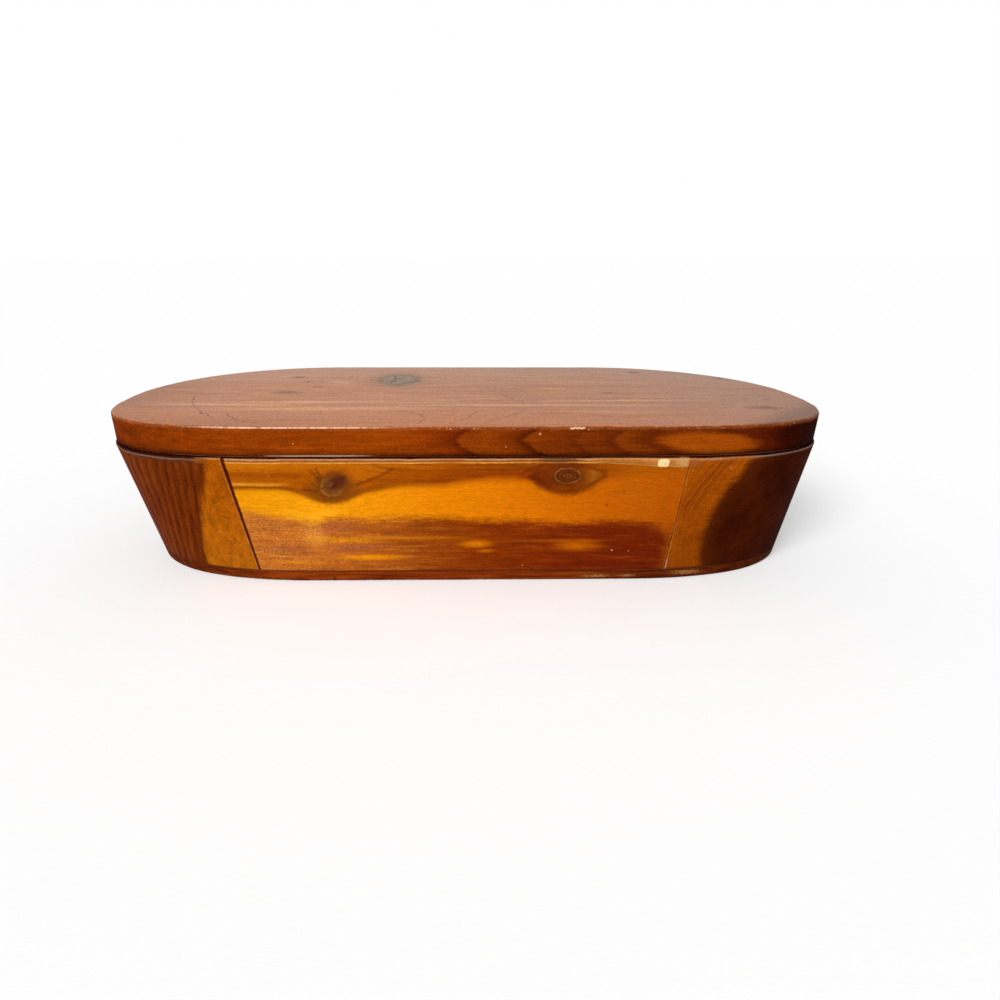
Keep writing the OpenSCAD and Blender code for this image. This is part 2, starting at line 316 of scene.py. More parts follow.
def baseRings(look):
    foot = evenly(outline(bodyPlan(0)), look["points"], closed=True)
    full = evenly(outline(bodyPlan(baseTop)), look["points"], closed=True)
    ease = look["round"] * (1 + look["wander"] * waves(foot, 14, 5.7))
    zero = np.zeros(look["points"])
    rows = [(zero, ease + 0.8)]
    rows += [(ease * up, ease * inward) for up, inward in quarterTurn(look["steps"], 1.0, False)]
    for down, inward in quarterTurn(look["topSteps"], look["topEase"], True):
        rows.append((zero + baseTop - down, zero + inward))
    rows.append((zero + baseTop, zero + look["topEase"] + 0.5))
    rings = []
    for heights, inward in rows:
        share = (heights / baseTop)[:, None]
        path = foot * (1 - share) + full * share
        rings.append(np.column_stack([path - outward(path) * inward[:, None], heights]))
    return rings


# Room for the hinges, the screws and the brads
hingeLook = {
    "x": (-48.0, 48.0), "leaf": 30.0, "leafFront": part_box("left_hinge_box_leaf")[0].y / mm, "leafDeep": 1.1,
    "play": 0.15, "over": 3.0, "barrelRoom": 2.3, "bevel": 51.0, "bevelReach": 9.0, "bevelOver": 5.0,
    "screwX": 9.0, "screwY": sum(corner.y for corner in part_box("box_hinge_screws")) / 2 / mm,
    "screwBore": 1.25, "screwDeep": 9.4,
}
bradLook = {
    "rowX": (-67.0, -24.0, 19.0, 62.0), "rowY": (-57.0, 56.5), "endX": (-125.0, 130.0), "endY": (-35.0, 15.0),
    "head": 3.0, "headHigh": 0.6, "shank": 1.4, "length": 18.0, "tip": 1.5, "play": 0.05,
}
bradPlaces = [(x, y, 0.0) for x in bradLook["rowX"] for y in bradLook["rowY"]]
bradPlaces += [(x, y, 0.0) for x in bradLook["endX"] for y in bradLook["endY"]]
screwAcross = [x + side * hingeLook["screwX"] for x in hingeLook["x"] for side in (-1, 1)]
screwPlaces = [(x, hingeLook["screwY"]) for x in screwAcross]


def bevelCut(name, look, up, halfLength=200.0):  # a wedge out of the wall (1) or the lid (-1)
    reach, over = look["bevelReach"], look["bevelOver"]
    drop = reach * math.tan(math.radians(look["bevel"]))
    profile = [(0, 0), (reach, -up * drop), (reach, up * over), (0, up * over)][::up]
    ends = [[(x, hinge.y + y, hinge.z + z) for y, z in profile] for x in (-halfLength, halfLength)]
    made = meshFrom(name, [np.array(end) for end in ends])
    faceOut(made.data)
    return made


def leafRoom(name, look, up):
    front, deep = look["leafFront"] - look["play"], look["leafDeep"] + look["over"]
    size = (look["leaf"] + 2 * look["play"], hinge.y - front, deep)
    level = hinge.z + up * (deep / 2 - look["leafDeep"])
    return cutterOf(name, [("box", (x, (front + hinge.y) / 2, level), size) for x in look["x"]])


def screwBores(name, look, up):
    size = (look["screwBore"], look["screwDeep"])
    return cutterOf(name, [("rod", (x, y, hinge.z + up * size[1] / 2), size) for x, y in screwPlaces])


def bradRods(name, wide, top, below=2.0):
    size = (wide / 2 + bradLook["play"], top + below)
    return cutterOf(name, [("rod", (x, y, (top - below) / 2), size) for x, y, _ in bradPlaces])


wallBevel = bevelCut("wallBevel", hingeLook, 1)
lidBevel = bevelCut("lidBevel", hingeLook, -1)
boxLeafRoom = leafRoom("boxLeafRoom", hingeLook, 1)
lidLeafRoom = leafRoom("lidLeafRoom", hingeLook, -1)
barrelSize = (hingeLook["barrelRoom"], hingeLook["leaf"] + 1)
barrelRoom = cutterOf("barrelRoom", [("rodX", (x, hinge.y, hinge.z), barrelSize) for x in hingeLook["x"]])
boxBores = screwBores("boxBores", hingeLook, -1)
lidBores = screwBores("lidBores", hingeLook, 1)
bradBores = bradRods("bradBores", bradLook["shank"], bradLook["length"] + 0.4)
bradSeats = bradRods("bradSeats", bradLook["head"], bradLook["headHigh"] + 0.05)

lidBoard = settle(meshFrom("cedar_lid", lidRings(lidLook)), (lidBevel, lidLeafRoom, barrelRoom, lidBores))
frontBoard = settle(meshFrom("cedar_front", wallRings(wallLook, True)), (bradBores,))
backCuts = (wallBevel, boxLeafRoom, barrelRoom, boxBores, bradBores)
backBoard = settle(meshFrom("cedar_back", wallRings(wallLook, False)), backCuts)
leftBlock = settle(meshFrom("cedar_left_block", blockRings(wallLook, "leftJoint")), (bradBores,))
rightBlock = settle(meshFrom("cedar_right_block", blockRings(wallLook, "rightJoint")), (wallBevel, bradBores))
baseBoard = settle(meshFrom("cedar_base", baseRings(baseLook)), (bradBores, bradSeats))
for cutter in (lidBevel, lidLeafRoom, lidBores, bradSeats, *backCuts):
    bpy.data.objects.remove(cutter)
boards = (lidBoard, frontBoard, backBoard, leftBlock, rightBlock, baseBoard)
print("boards cut:", [len(board.data.polygons) for board in boards])


def operators(operation):  # an operator and its reflected form
    def plain(self, value):
        return self.math(operation, self, value)

    def reflected(self, value):
        return self.math(operation, value, self)

    return plain, reflected


class Wire:  # a socket of a node tree, with arithmetic
    def __init__(self, tree, socket=None):
        self.tree = tree
        self.socket = socket

    def node(self, kind, settings=None, inputs=None, output=0):
        made = self.tree.nodes.new(kind)
        for key, value in (settings or {}).items():
            if key == "stops":
                fillRamp(made.color_ramp, value)
            elif key == "bend":
                made.color_ramp.interpolation = value
            else:
                setattr(made, key, value)
        for key, value in (inputs or {}).items():
            if isinstance(value, Wire):
                self.tree.links.new(value.socket, made.inputs[key])
            else:
                made.inputs[key].default_value = value
        return Wire(self.tree, made.outputs[output] if len(made.outputs) else None)

    def other(self, output):
        return Wire(self.tree, self.socket.node.outputs[output])

    def math(self, operation, *values):
        return self.node("ShaderNodeMath", {"operation": operation}, dict(enumerate(values)))

    def __abs__(self):
        return self.math("ABSOLUTE", self)

    __add__, __radd__ = operators("ADD")
    __sub__, __rsub__ = operators("SUBTRACT")
    __mul__, __rmul__ = operators("MULTIPLY")
    __truediv__, __rtruediv__ = operators("DIVIDE")
    __pow__, __rpow__ = operators("POWER")


def tint(code, alpha=1.0):  # a hex colour as linear values
    parts = [int(code[i:i + 2], 16) / 255 for i in (1, 3, 5)]
    return tuple(c / 12.92 if c <= 0.04045 else ((c + 0.055) / 1.055) ** 2.4 for c in parts) + (alpha,)


def fillRamp(ramp, stops):
    ramp.interpolation = "LINEAR"
    while len(ramp.elements) < len(stops):
        ramp.elements.new(0.5)
    for element, (place, colour) in zip(ramp.elements, sorted(stops, key=lambda s: s[0])):
        element.position = place
        element.color = colour


def ramp(value, low, high, stops):  # stops of place and colour, with a cover as alpha where one is given
    share = (value - low) / (high - low)
    rows = [((place - low) / (high - low), tint(*colour)) for place, *colour in stops]
    return share.node("ShaderNodeValToRGB", {"stops": rows}, {0: share})


def curve(x, points):  # a value that follows x through given points
    low, high = points[0][0], points[-1][0]
    foot, head = min(p[1] for p in points), max(p[1] for p in points)
    share = (x - low) / (high - low)
    stops = [((px - low) / (high - low), ((pz - foot) / (head - foot),) * 3 + (1,)) for px, pz in points]
    line = share.node("ShaderNodeValToRGB", {"stops": stops, "bend": "CARDINAL"}, {0: share})
    return line * (head - foot) + foot


def smooth(value, low, high):
    return value.node("ShaderNodeMapRange", {"interpolation_type": "SMOOTHSTEP"}, {0: value, 1: low, 2: high})


def strip(value, middle, edge, core):  # 1 along a line where the value is the middle one
    return smooth(abs(value - middle), edge, core)


def root(value):
    return value.math("SQRT", value)


def bell(value):
    return value.math("EXPONENT", 0.0 - value)


def fract(value):
    return value.math("FRACT", value)


def larger(value, other):
    return value.math("MAXIMUM", value, other)


def mixed(mask, under, over):
    settings = {"data_type": "RGBA", "blend_type": "MIX"}
    return mask.node("ShaderNodeMix", settings, {0: mask, 6: under, 7: over}, 2)


def dab(colour, mask, code, strength=1.0):
    return mixed(mask * strength, colour, tint(code))


def shaded(colour, amount):
    return colour.node("ShaderNodeVectorMath", {"operation": "SCALE"}, {0: colour, "Scale": amount})


def dimmed(colour, mask, amount):
    return mixed(mask, colour, shaded(colour, amount))


def grain(x, y, z, detail=2.0, rough=0.5, seed=0.0):  # noise over coordinates that are already stretched
    at = x.node("ShaderNodeCombineXYZ", {}, {0: x + seed if seed else x, 1: y, 2: z})
    inputs = {"Vector": at, "Scale": 1.0, "Detail": detail, "Roughness": rough}
    return at.node("ShaderNodeTexNoise", {}, inputs)


def uneven(*parts):  # noises about 0, each with its reach
    return sum((noise - 0.5) * reach for noise, reach in parts)


def spot(x, z, place, size, turn=0.0):  # squared distance from the middle of an oval, 1 at its edge
    dx, dz = x - place[0], z - place[1]
    if turn:
        c, s = math.cos(math.radians(turn)), math.sin(math.radians(turn))
        dx, dz = dx * c + dz * s, dz * c - dx * s
    dx, dz = dx / size[0], dz / size[1]
    return dx * dx + dz * dz


def blot(x, z, place, size, ragged, edge, core, turn=0.0):  # an oval patch with a ragged edge
    return smooth(root(spot(x, z, place, size, turn)) + ragged, edge, core)


def stroke(x, z, begin, end, width, fade=0.15):  # 1 along a straight scratch, fading to its sides and ends
    run = (end[0] - begin[0], end[1] - begin[1])
    long = math.hypot(*run)
    ux, uz = run[0] / long, run[1] / long
    dx, dz = x - begin[0], z - begin[1]
    along = dx * ux + dz * uz
    aside = abs(dz * ux - dx * uz)
    ends = smooth(along, 0.0, long * fade) * smooth(along, long, long * (1 - fade))
    return smooth(aside, width, width * 0.2) * ends


def bent(x, z, place, size, pull=1.0):  # how far fibres go aside round a knot
    return (z - place[1]) * bell(spot(x, z, place, size)) * pull


def figured(colour, distance, rings, light=None):  # rings round the middle of a knot
    figure = ramp(distance, 0.0, 2.0, rings)
    return mixed(figure.other("Alpha"), colour, shaded(figure, light) if light else figure)


def growth(turns, low, high, drop):  # a growth ring: late wood builds up and ends
    saw = fract(turns)
    return smooth(saw, low, high) * smooth(saw, 1.0, drop)


def freshTree(owner):
    owner.use_nodes = True
    owner.node_tree.nodes.clear()
    return Wire(owner.node_tree)


def startFinish(name):  # a material, and the place on the piece in mm
    finish = bpy.data.materials.new(name)
    start = freshTree(finish)
    place = start.node("ShaderNodeTexCoord", {}, {}, "Object")
    inMm = start.node("ShaderNodeVectorMath", {"operation": "SCALE"}, {0: place, "Scale": 1 / mm})
    x = start.node("ShaderNodeSeparateXYZ", {}, {0: inMm})
    return finish, x, x.other(1), x.other(2)


def endFinish(colour, rough, relief, gloss):
    bumpInputs = {"Strength": gloss["bump"], "Distance": gloss["relief"] * mm, "Height": relief}
    bump = relief.node("ShaderNodeBump", {}, bumpInputs)
    skin = colour.node("ShaderNodeBsdfPrincipled", {}, {
        "Base Color": colour, "Roughness": rough, "Metallic": gloss["metal"], "Normal": bump,
        "Specular IOR Level": gloss["specular"], "Coat Weight": gloss["coat"],
        "Coat Roughness": gloss["coatRough"], "Coat IOR": gloss["coatIor"]})
    colour.node("ShaderNodeOutputMaterial", {}, {"Surface": skin})


wallGloss = {
    "bump": 0.3, "relief": 0.1, "specular": 0.0, "metal": 0.0,
    "coat": 0.05, "coatRough": 0.16, "coatIor": 1.3,
}
lidGloss = {**wallGloss, "bump": 0.35, "coatRough": 0.32, "coatIor": 1.34}
bareGloss = {**wallGloss, "bump": 0.5, "relief": 0.15, "specular": 0.2, "coat": 0.0, "coatRough": 0.4}
metalGloss = {**bareGloss, "bump": 0.15, "relief": 0.05, "specular": 0.5, "metal": 1.0}

# Worn lines along the rim, with painted light: height, colour, cover. The pale lines are partly bare worn
# wood and partly a painted highlight on the eased edge; the dark lines at the top, and most of the dark band
# on the left block, are painted shade under the lid.
rimLines = {
    "front": [(54.3, "#c8751a", 0.0), (54.75, "#c8751a", 0.0), (55.0, "#dd9a44", 0.8),
              (55.35, "#d8994a", 0.8), (55.55, "#8a4a12", 0.85), (55.85, "#864612", 0.85),
              (56.05, "#a8683c", 0.95), (56.6, "#bd875c", 0.95), (56.8, "#5a2410", 1.0),
              (56.86, "#380a02", 1.0)],
    "frontRight": [(53.0, "#b06a28", 0.0), (53.3, "#c88a3a", 0.75), (53.7, "#b07840", 0.85),
                   (54.4, "#b06a2c", 0.92), (55.6, "#bf7c3c", 1.0), (56.5, "#c68c58", 1.0),
                   (56.8, "#7a4024", 1.0), (56.86, "#4a1002", 1.0)],
    "left": [(54.2, "#4a1c06", 0.0), (54.5, "#4a2010", 0.65), (54.9, "#5e3826", 0.8),
             (55.2, "#44200f", 0.85), (55.55, "#6c4636", 0.9), (55.95, "#7e5846", 0.95),
             (56.3, "#3a160c", 1.0), (56.86, "#2e0a03", 1.0)],
    "rightAmber": [(54.9, "#8a4204", 0.0), (55.3, "#9c5624", 0.55), (55.8, "#a8683a", 0.8),
                   (56.4, "#b07c54", 0.85), (56.7, "#5a2408", 1.0), (56.86, "#3a0c02", 1.0)],
    "right": [(55.1, "#3a1206", 0.0), (55.5, "#4a2010", 0.6), (55.8, "#2c0c04", 0.85),
              (56.05, "#6a4c40", 0.9), (56.45, "#866659", 0.95), (56.7, "#32100a", 1.0),
              (56.86, "#2a0802", 1.0)],
    "back": [(55.0, "#a85a14", 0.0), (55.5, "#b97834", 0.5), (56.2, "#a8744c", 0.8), (56.7, "#b08a6c", 0.9),
             (56.86, "#4a1002", 1.0)],
}


def rimWearAndLight(colour, x, y, z, left, right, change):  # two kinds of wear with painted highlight and painted shade, changing over at a place along x
    wave = grain(x / 14.0, y / 14.0, 0.0, seed=31.0)
    dirt = grain(x / 2.0, y / 2.0, z / 0.5, 3.0, 0.65, 41.0)
    grit = grain(x / 0.9, y / 0.9, z / 0.4, 2.0, 0.6, 43.0)
    level = z + uneven((wave, 0.7), (dirt, 0.6)) * smooth(z, rim, rim - 0.3)
    lower = 1.7 * smooth(x, 78.0, 46.0) * smooth(z, rim, rim - 0.6)
    first = ramp(level, 53.0, 57.0, rimLines[left])
    second = ramp(level - lower, 53.0, 57.0, rimLines[right])
    over = smooth(x + (dirt - 0.5) * 6.0, change - 5.0, change + 5.0)
    bare = shaded(mixed(over, first, second), 0.5 * wave + 0.9 * dirt + 0.7 * grit)
    cover = first.other("Alpha") * (1.0 - over) + second.other("Alpha") * over
    patchiness = 0.6 + 0.5 * smooth(wave, 0.3, 0.55)
    grooveShade = smooth(z, rim - 0.5, rim - 0.1)  # painted shade in the groove below the lid
    groove = smooth(z, rim - 0.2 * wallLook["step"], rim - 0.8 * wallLook["step"])
    return mixed(cover * larger(patchiness, grooveShade) * groove, colour, bare)


def footLine(colour, z, noise, code):  # a dark line above the base
    return dab(colour, smooth(z + (noise - 0.5) * 0.5, baseTop + 0.75, baseTop + 0.25), code, 0.75)


# The front board: red heartwood below, a gold sapwood band, and two knots near the rim
frontLook = {
    "goldTop": [(-95, 43.2), (-72, 43.2), (-63, 40.2), (-54, 37.4), (-44, 40.8), (-31, 44.1), (-8, 45.3),
                (2, 47.0), (18, 47.6), (30, 45.2), (39, 42.8), (50, 46.4), (60, 48.6), (73, 49.6),
                (85, 50.0)],
    "goldLow": [(-95, 33.8), (-88, 33.1), (-78, 31.6), (-69, 29.9), (-62, 28.5), (-55, 31.0), (-42, 30.6),
                (-28, 30.9), (-8, 31.1), (2, 29.8), (15, 29.2), (28, 28.7), (42, 28.0), (55, 29.3),
                (69, 29.2), (85, 28.0)],
    # gold and red colours along x darken towards the right, partly as the wood's own tone and partly as
    # painted shade where the light falls off; the pale, pinkish left end of the red ones is a painted sheen
    "gold": [(-95, "#ef980a"), (-75, "#f49d0a"), (-60, "#fba40f"), (-45, "#f79a0a"), (-10, "#ec8705"),
             (25, "#db7304"), (50, "#c86304"), (85, "#b65404")],
    "upper": [(-95, "#b45c05"), (-70, "#b25704"), (-30, "#ac5203"), (0, "#983f03"), (30, "#8e3803"),
              (52, "#a04a03"), (66, "#b25a04"), (85, "#a85304")],
    "crown": [(-95, "#ca730a"), (-60, "#bf6608"), (-30, "#b66006"), (0, "#a65005"), (45, "#944204"),
              (66, "#b05804"), (85, "#a65004")],
    "red": [(-95, "#c06e26"), (-70, "#c67029"), (-45, "#b8621d"), (-20, "#9a480e"), (0, "#8b3706"),
            (30, "#802b05"), (55, "#752305"), (85, "#6e1f04")],
    "redLight": [(-95, "#d58f3c"), (-45, "#cd8030"), (0, "#a2500e"), (40, "#92420b"), (85, "#863808")],
    # place, size, colour, strength; pale pink patches on the left of the red wood, partly the wood and partly
    # a painted sheen
    "pink": [((-62.0, 23.4), (5.0, 6.5), "#e8963c", 0.75), ((-54.5, 26.2), (9.0, 3.0), "#ae5f30", 0.75),
             ((-75.0, 15.7), (11.0, 2.4), "#a35a32", 0.65), ((-47.5, 16.6), (12.0, 1.7), "#a85c38", 0.75),
             ((-80.0, 26.5), (8.0, 2.4), "#b06a2c", 0.5)],
    # place, size, turn, strength
    "patches": [((-50.0, 20.4), (14.0, 1.4), -2, 0.5), ((-22.0, 21.3), (24.0, 1.0), 0, 0.4),
                ((-40.0, 12.0), (14.0, 1.5), 0, 0.95), ((2.4, 18.2), (6.4, 1.8), 0, 0.9),
                ((7.0, 14.9), (3.8, 0.9), 0, 0.6), ((44.0, 17.2), (9.5, 2.6), 0, 0.9),
                ((38.0, 19.7), (20.0, 0.9), 0, 0.4), ((-70.0, 9.4), (12.0, 1.2), 0, 0.3)],
    "flecks": [(58.8, 14.9, 0.3), (65.7, 14.5, 0.18), (22.3, 7.7, 0.22), (-77.5, 49.6, 0.16)],
    # rings of the knots: distance from the middle, colour, cover
    "leftRings": [(0.0, "#6a3a14", 0.9), (0.8, "#7c4818", 0.9), (1.0, "#7a4212", 0.85),
                  (1.25, "#6c340b", 0.65), (1.6, "#7a400c", 0.3), (2.0, "#7a400c", 0.0)],
    "rightRings": [(0.0, "#8a5a30", 0.9), (0.14, "#5e2608", 0.95), (0.3, "#74401a", 0.95),
                   (0.45, "#521c06", 0.95), (0.62, "#6e340e", 0.95), (0.78, "#582006", 0.95),
                   (1.14, "#642806", 0.75), (1.55, "#743206", 0.4), (2.0, "#7a3606", 0.0)],
    "leftLines": [((-57.3, 47.0), (-62.0, 53.0)), ((-57.4, 48.6), (-59.4, 53.4)),
                  ((-45.0, 45.4), (-37.0, 48.4)), ((-37.6, 48.1), (-28.4, 53.2)),
                  ((-58.5, 42.6), (-66.0, 44.0))],
    "rightLines": [((44.0, 53.4), (54.0, 50.6)), ((45.5, 44.6), (54.0, 50.0)), ((20.5, 51.4), (29.0, 54.0))],
}


def leftKnot(colour, x, z, fuzz, look):  # a dark tilted core with a pale rim on its lower left
    sway = grain(x / 2.6, 0.0, z / 2.6, seed=67.0)
    wobble = uneven((fuzz, 0.35), (sway, 0.5))
    colour = dab(colour, blot(x, z, (-53.6, 43.6), (11.5, 6.4), wobble, 1.25, 0.6, 3), "#8c4a0b", 0.75)
    body = root(spot(x, z, (-53.0, 45.2), (4.9, 4.0), 32)) + wobble * 0.6
    colour = figured(colour, body, look["leftRings"], 0.5 + fuzz)
    aside = smooth((x + 53.0) + (z - 45.0), 2.5, -3.0)
    flaky = 0.3 + 0.7 * smooth(grain(x / 1.4, 0.0, z / 1.4, seed=63.0), 0.4, 0.6)
    colour = dab(colour, strip(body, 1.0, 0.18, 0.02) * aside * flaky, "#b08044", 0.4)
    colour = dab(colour, blot(x, z, (-51.5, 46.7), (4.8, 3.0), wobble * 0.7, 1.3, 0.4, 36), "#582411", 0.95)
    # a small painted highlight on the knot's core
    colour = dab(colour, blot(x, z, (-53.9, 45.8), (2.0, 0.7), wobble, 1.3, 0.1, 45), "#8a5444", 0.5)
    for begin, end in look["leftLines"]:
        colour = dab(colour, stroke(x, z + (fuzz - 0.5) * 2.4, begin, end, 1.0), "#5a2a08", 0.5)
    return colour


def rightKnot(colour, x, z, fuzz, look):  # fine rings inside an almond
    sway = grain(x / 2.6, 0.0, z / 2.6, seed=69.0)
    wobble = uneven((fuzz, 0.3), (sway, 0.5))
    dx, dz = (x - 38.0) / 14.5, abs(z - 49.2) / 7.2
    almond = dx * dx + dz + wobble * 0.6
    colour = dab(colour, smooth(almond, 1.45, 0.5), "#843604", 0.75)
    below = smooth(z + (x - 38.0) * 0.3, 53.5, 44.0)
    colour = dab(colour, strip(almond, 0.95, 0.45, 0.0) * below, "#561a04", 0.65)
    colour = dab(colour, smooth(almond, 1.5, 0.6) * smooth(z, 51.5, 54.5), "#672607", 0.65)
    colour = dab(colour, blot(x, z, (29.5, 47.5), (5.0, 4.5), wobble, 1.4, 0.3), "#5c1c04", 0.5)
    colour = dab(colour, blot(x, z, (47.0, 49.6), (4.2, 4.2), wobble, 1.4, 0.3), "#a85c10", 0.6)
    ring = root(spot(x, z, (37.9, 49.4), (4.9, 3.25), -3)) + wobble * 0.6
    colour = figured(colour, ring, look["rightRings"], 0.5 + fuzz)
    broken = 0.45 + 0.55 * smooth(grain(x / 2.4, 0.0, z / 2.4, seed=61.0), 0.4, 0.6)
    colour = dab(colour, strip(ring, 1.0, 0.2, 0.0) * broken, "#a8763a", 0.42)
    for begin, end in look["rightLines"]:
        colour = dab(colour, stroke(x, z + wobble * 2.4, begin, end, 1.1), "#5c2004", 0.4)
    arc = strip(ring, 2.05, 0.2, 0.0) * smooth(x, 44.0, 47.0) * strip(z, 49.5, 3.0, 1.0)
    return dab(colour, arc * broken, "#b07a3c", 0.35)


def frontFinish(name, look):
    finish, x, y, z = startFinish(name)

    def along(key):  # colours from joint to joint
        return ramp(x, -95, 85, look[key])

    # fibres bend round the two knots
    w = z - bent(x, z, (-53.0, 45.8), (17.0, 11.0), 1.05) - bent(x, z, (38.0, 49.2), (15.0, 9.0))
    broad = grain(x / 40, y / 9, w / 5.0)
    streak = grain(x / 24, y / 2, w / 0.9, 4.0, 0.6, 4.0)
    thread = grain(x / 40, y / 2, w / 0.42, seed=23.0)
    fibre = grain(x / 3.0, y / 0.9, w / 0.6, seed=9.0)
    fuzz = grain(x / 1.2, y / 0.6, z / 0.8, 3.0, 0.65, 15.0)
    speck = grain(x / 0.75, y / 0.75, z / 0.6, 2.0, 0.6, 19.0)
    cloud = grain(x / 7, y / 5, w / 3.0, 3.0, 0.55, 45.0)
    ragged = uneven((broad, 1.6), (cloud, 3.0), (streak, 2.4), (fibre, 1.8), (speck, 1.8))
    over = z - curve(x, look["goldTop"]) + ragged * 0.6
    under = z - curve(x, look["goldLow"]) + ragged
    gold = dab(along("gold"), strip(under, 2.4, 3.4, 0.2) * strip(x, -62.0, 16.0, 2.0), "#ffb11c", 0.8)
    upper = mixed(smooth(z + ragged * 0.8, 50.5, 54.2), along("upper"), along("crown"))
    colour = mixed(smooth(over, -2.2, 2.8), gold, upper)
    colour = dab(colour, strip(over, 1.2, 2.2, 0.0) * smooth(x, 0.0, -45.0), "#7a3806", 0.65)
    shelf = strip(z + ragged * 0.5, 49.8, 1.8, 0.2) * smooth(x, -56.0, -68.0)
    colour = dab(colour, shelf, "#8c4004", 0.5)
    glint = strip(z + ragged * 0.2, 45.8, 1.15, 0.1) * smooth(x, -66.0, -78.0)
    colour = dab(colour, glint, "#eb9d2a", 0.75)
    flame = blot(x, z, (-39.0, 51.6), (11.0, 3.4), ragged * 0.12, 1.25, 0.5, 14)
    colour = dab(colour, flame, "#c4680a", 0.7)
    smoke = smooth(grain(x / 30, 0.0, w / 1.6, 3.0, 0.6, 21.0), 0.46, 0.66) * smooth(over, 0.4, 2.6)
    colour = dab(colour, smoke * smooth(x, 60.0, 46.0) * smooth(x, -46.0, -28.0), "#6a2e06", 0.6)
    # the red heartwood ends in a rounded tongue near the right joint
    blush = grain(x / 18, y / 3, w / 1.4, 3.0, 0.6, 51.0)
    red = mixed(smooth(blush, 0.5, 0.68) * 0.5, along("red"), along("redLight"))
    red = dimmed(red, smooth(blush, 0.5, 0.32) * 0.45, 0.66)
    red = shaded(red, 0.7 + 0.6 * cloud)
    for place, size, code, strength in look["pink"]:
        red = dab(red, blot(x, z, place, size, ragged * 0.3, 1.5, 0.1), code, strength)
    patchy = ragged * 0.22 + (streak - 0.5) * 0.9
    for place, size, turn, strength in look["patches"]:
        red = mixed(blot(x, z, place, size, patchy, 1.5, 0.1, turn) * strength, red, shaded(gold, 0.92))
    tipX, tipZ = (x - 58.0) / 23.6, abs(z - 8.0) / 20.6
    tongue = smooth(larger(tipX, 0.0) ** 4.0 + tipZ ** 4.0 + ragged * 0.16, 1.5, 0.45)
    tail = smooth(x, 54.0, 62.0)
    heart = smooth(under, 2.6, -2.8) * (1.0 - tail) + tail * tongue
    colour = mixed(heart, colour, red)
    corner = smooth(x, 62.0, 76.0) * smooth(z + ragged * 1.5, 34.0, 14.0) * (1.0 - heart)
    colour = dab(colour, corner, "#6c2a04", 0.85)
    colour = leftKnot(colour, x, z, fuzz, look)
    colour = rightKnot(colour, x, z, fuzz, look)
    coarse = 0.35 + heart * (0.4 + 0.9 * smooth(x, 0.0, -55.0))
    colour = shaded(colour, 0.36 + streak * 0.32 + fibre * 0.6 + fuzz * 0.36 + (speck - 0.5) * coarse)
    colour = dimmed(colour, smooth(thread, 0.55, 0.7) * 0.3, 0.6)
    colour = dimmed(colour, smooth(fuzz, 0.58, 0.72) * (0.25 + 0.75 * heart) * 0.35, 0.5)
    # flecks, and the chip, scar and soot along the rim
    for fx, fz, size in look["flecks"]:
        colour = dab(colour, smooth(spot(x, z, (fx, fz), (size, size * 1.6), 35), 1.4, 0.4), "#dcb896", 0.7)
    colour = dab(colour, blot(x, z, (54.5, 36.3), (0.8, 1.2), fuzz - 0.5, 1.2, 0.2, 20), "#7a2c04", 0.65)
    colour = rimWearAndLight(colour, x, y, z, "front", "frontRight", 48.0)
    outer = smooth(y, -70.0, -72.0)
    soot = blot(x, z, (34.0, 56.2), (9.0, 1.5), (fuzz - 0.5) * 0.9, 1.2, 0.4)
    colour = dab(colour, soot * outer, "#5a2c18", 0.75)
    scar = blot(x, z, (82.4, 55.0), (2.6, 2.0), (fuzz - 0.5) * 2.6, 1.2, 0.6)
    colour = dab(colour, scar * outer, "#cc9862", 0.8)
    cx, cz = (x - 74.6) / 2.15, (z - 54.8) / 1.6
    chip = smooth(cx ** 4.0 + cz ** 4.0 + (fuzz - 0.5) * 2.2, 1.25, 0.8) * outer
    colour = dab(colour, chip, "#f6dc9e")
    colour = dab(colour, smooth(spot(x, z, (75.3, 54.4), (0.35, 0.35)), 1.2, 0.3) * chip, "#b08a50", 0.7)
    colour = footLine(colour, z, streak, "#4a1604")
    gap = x - jointX("leftJoint", z) - z * 0.01
    colour = dab(colour, smooth(gap + uneven((fuzz, 0.7), (speck, 0.4)), 0.8, 0.4), "#4a0805", 0.92)
    seam = jointX("rightJoint", z) - x
    colour = dab(colour, smooth(seam, 0.32, 0.1), "#5a2406", 0.7)
    # a pale line beside the right joint: a painted highlight on the board's edge
    colour = dab(colour, strip(seam, 0.6, 0.35, 0.1) * smooth(streak + fuzz, 0.9, 1.15), "#c8802c", 0.4)
    rough = 0.34 + (streak - 0.5) * 0.15 + smooth(z, 55.0, 55.8) * 0.25
    endFinish(colour, rough, fibre * 0.5 + streak * 0.6, wallGloss)
    return finish


# The back board: plainer, red with a crooked band of sapwood
backLook = {
    "gold": [(0.3, "#b8620a"), (0.5, "#cf7c0c"), (0.7, "#e0921a")], "amber": "#a8550a",
    "red": [(0.3, "#7a2c06"), (0.55, "#944410"), (0.75, "#a65a1c")],
    "rings": [(0.0, "#5c2c12", 0.95), (0.3, "#471a08", 0.95), (0.8, "#5e2a0c", 0.9), (1.05, "#4a1a06", 0.8),
              (2.0, "#6a2c08", 0.0)],
}


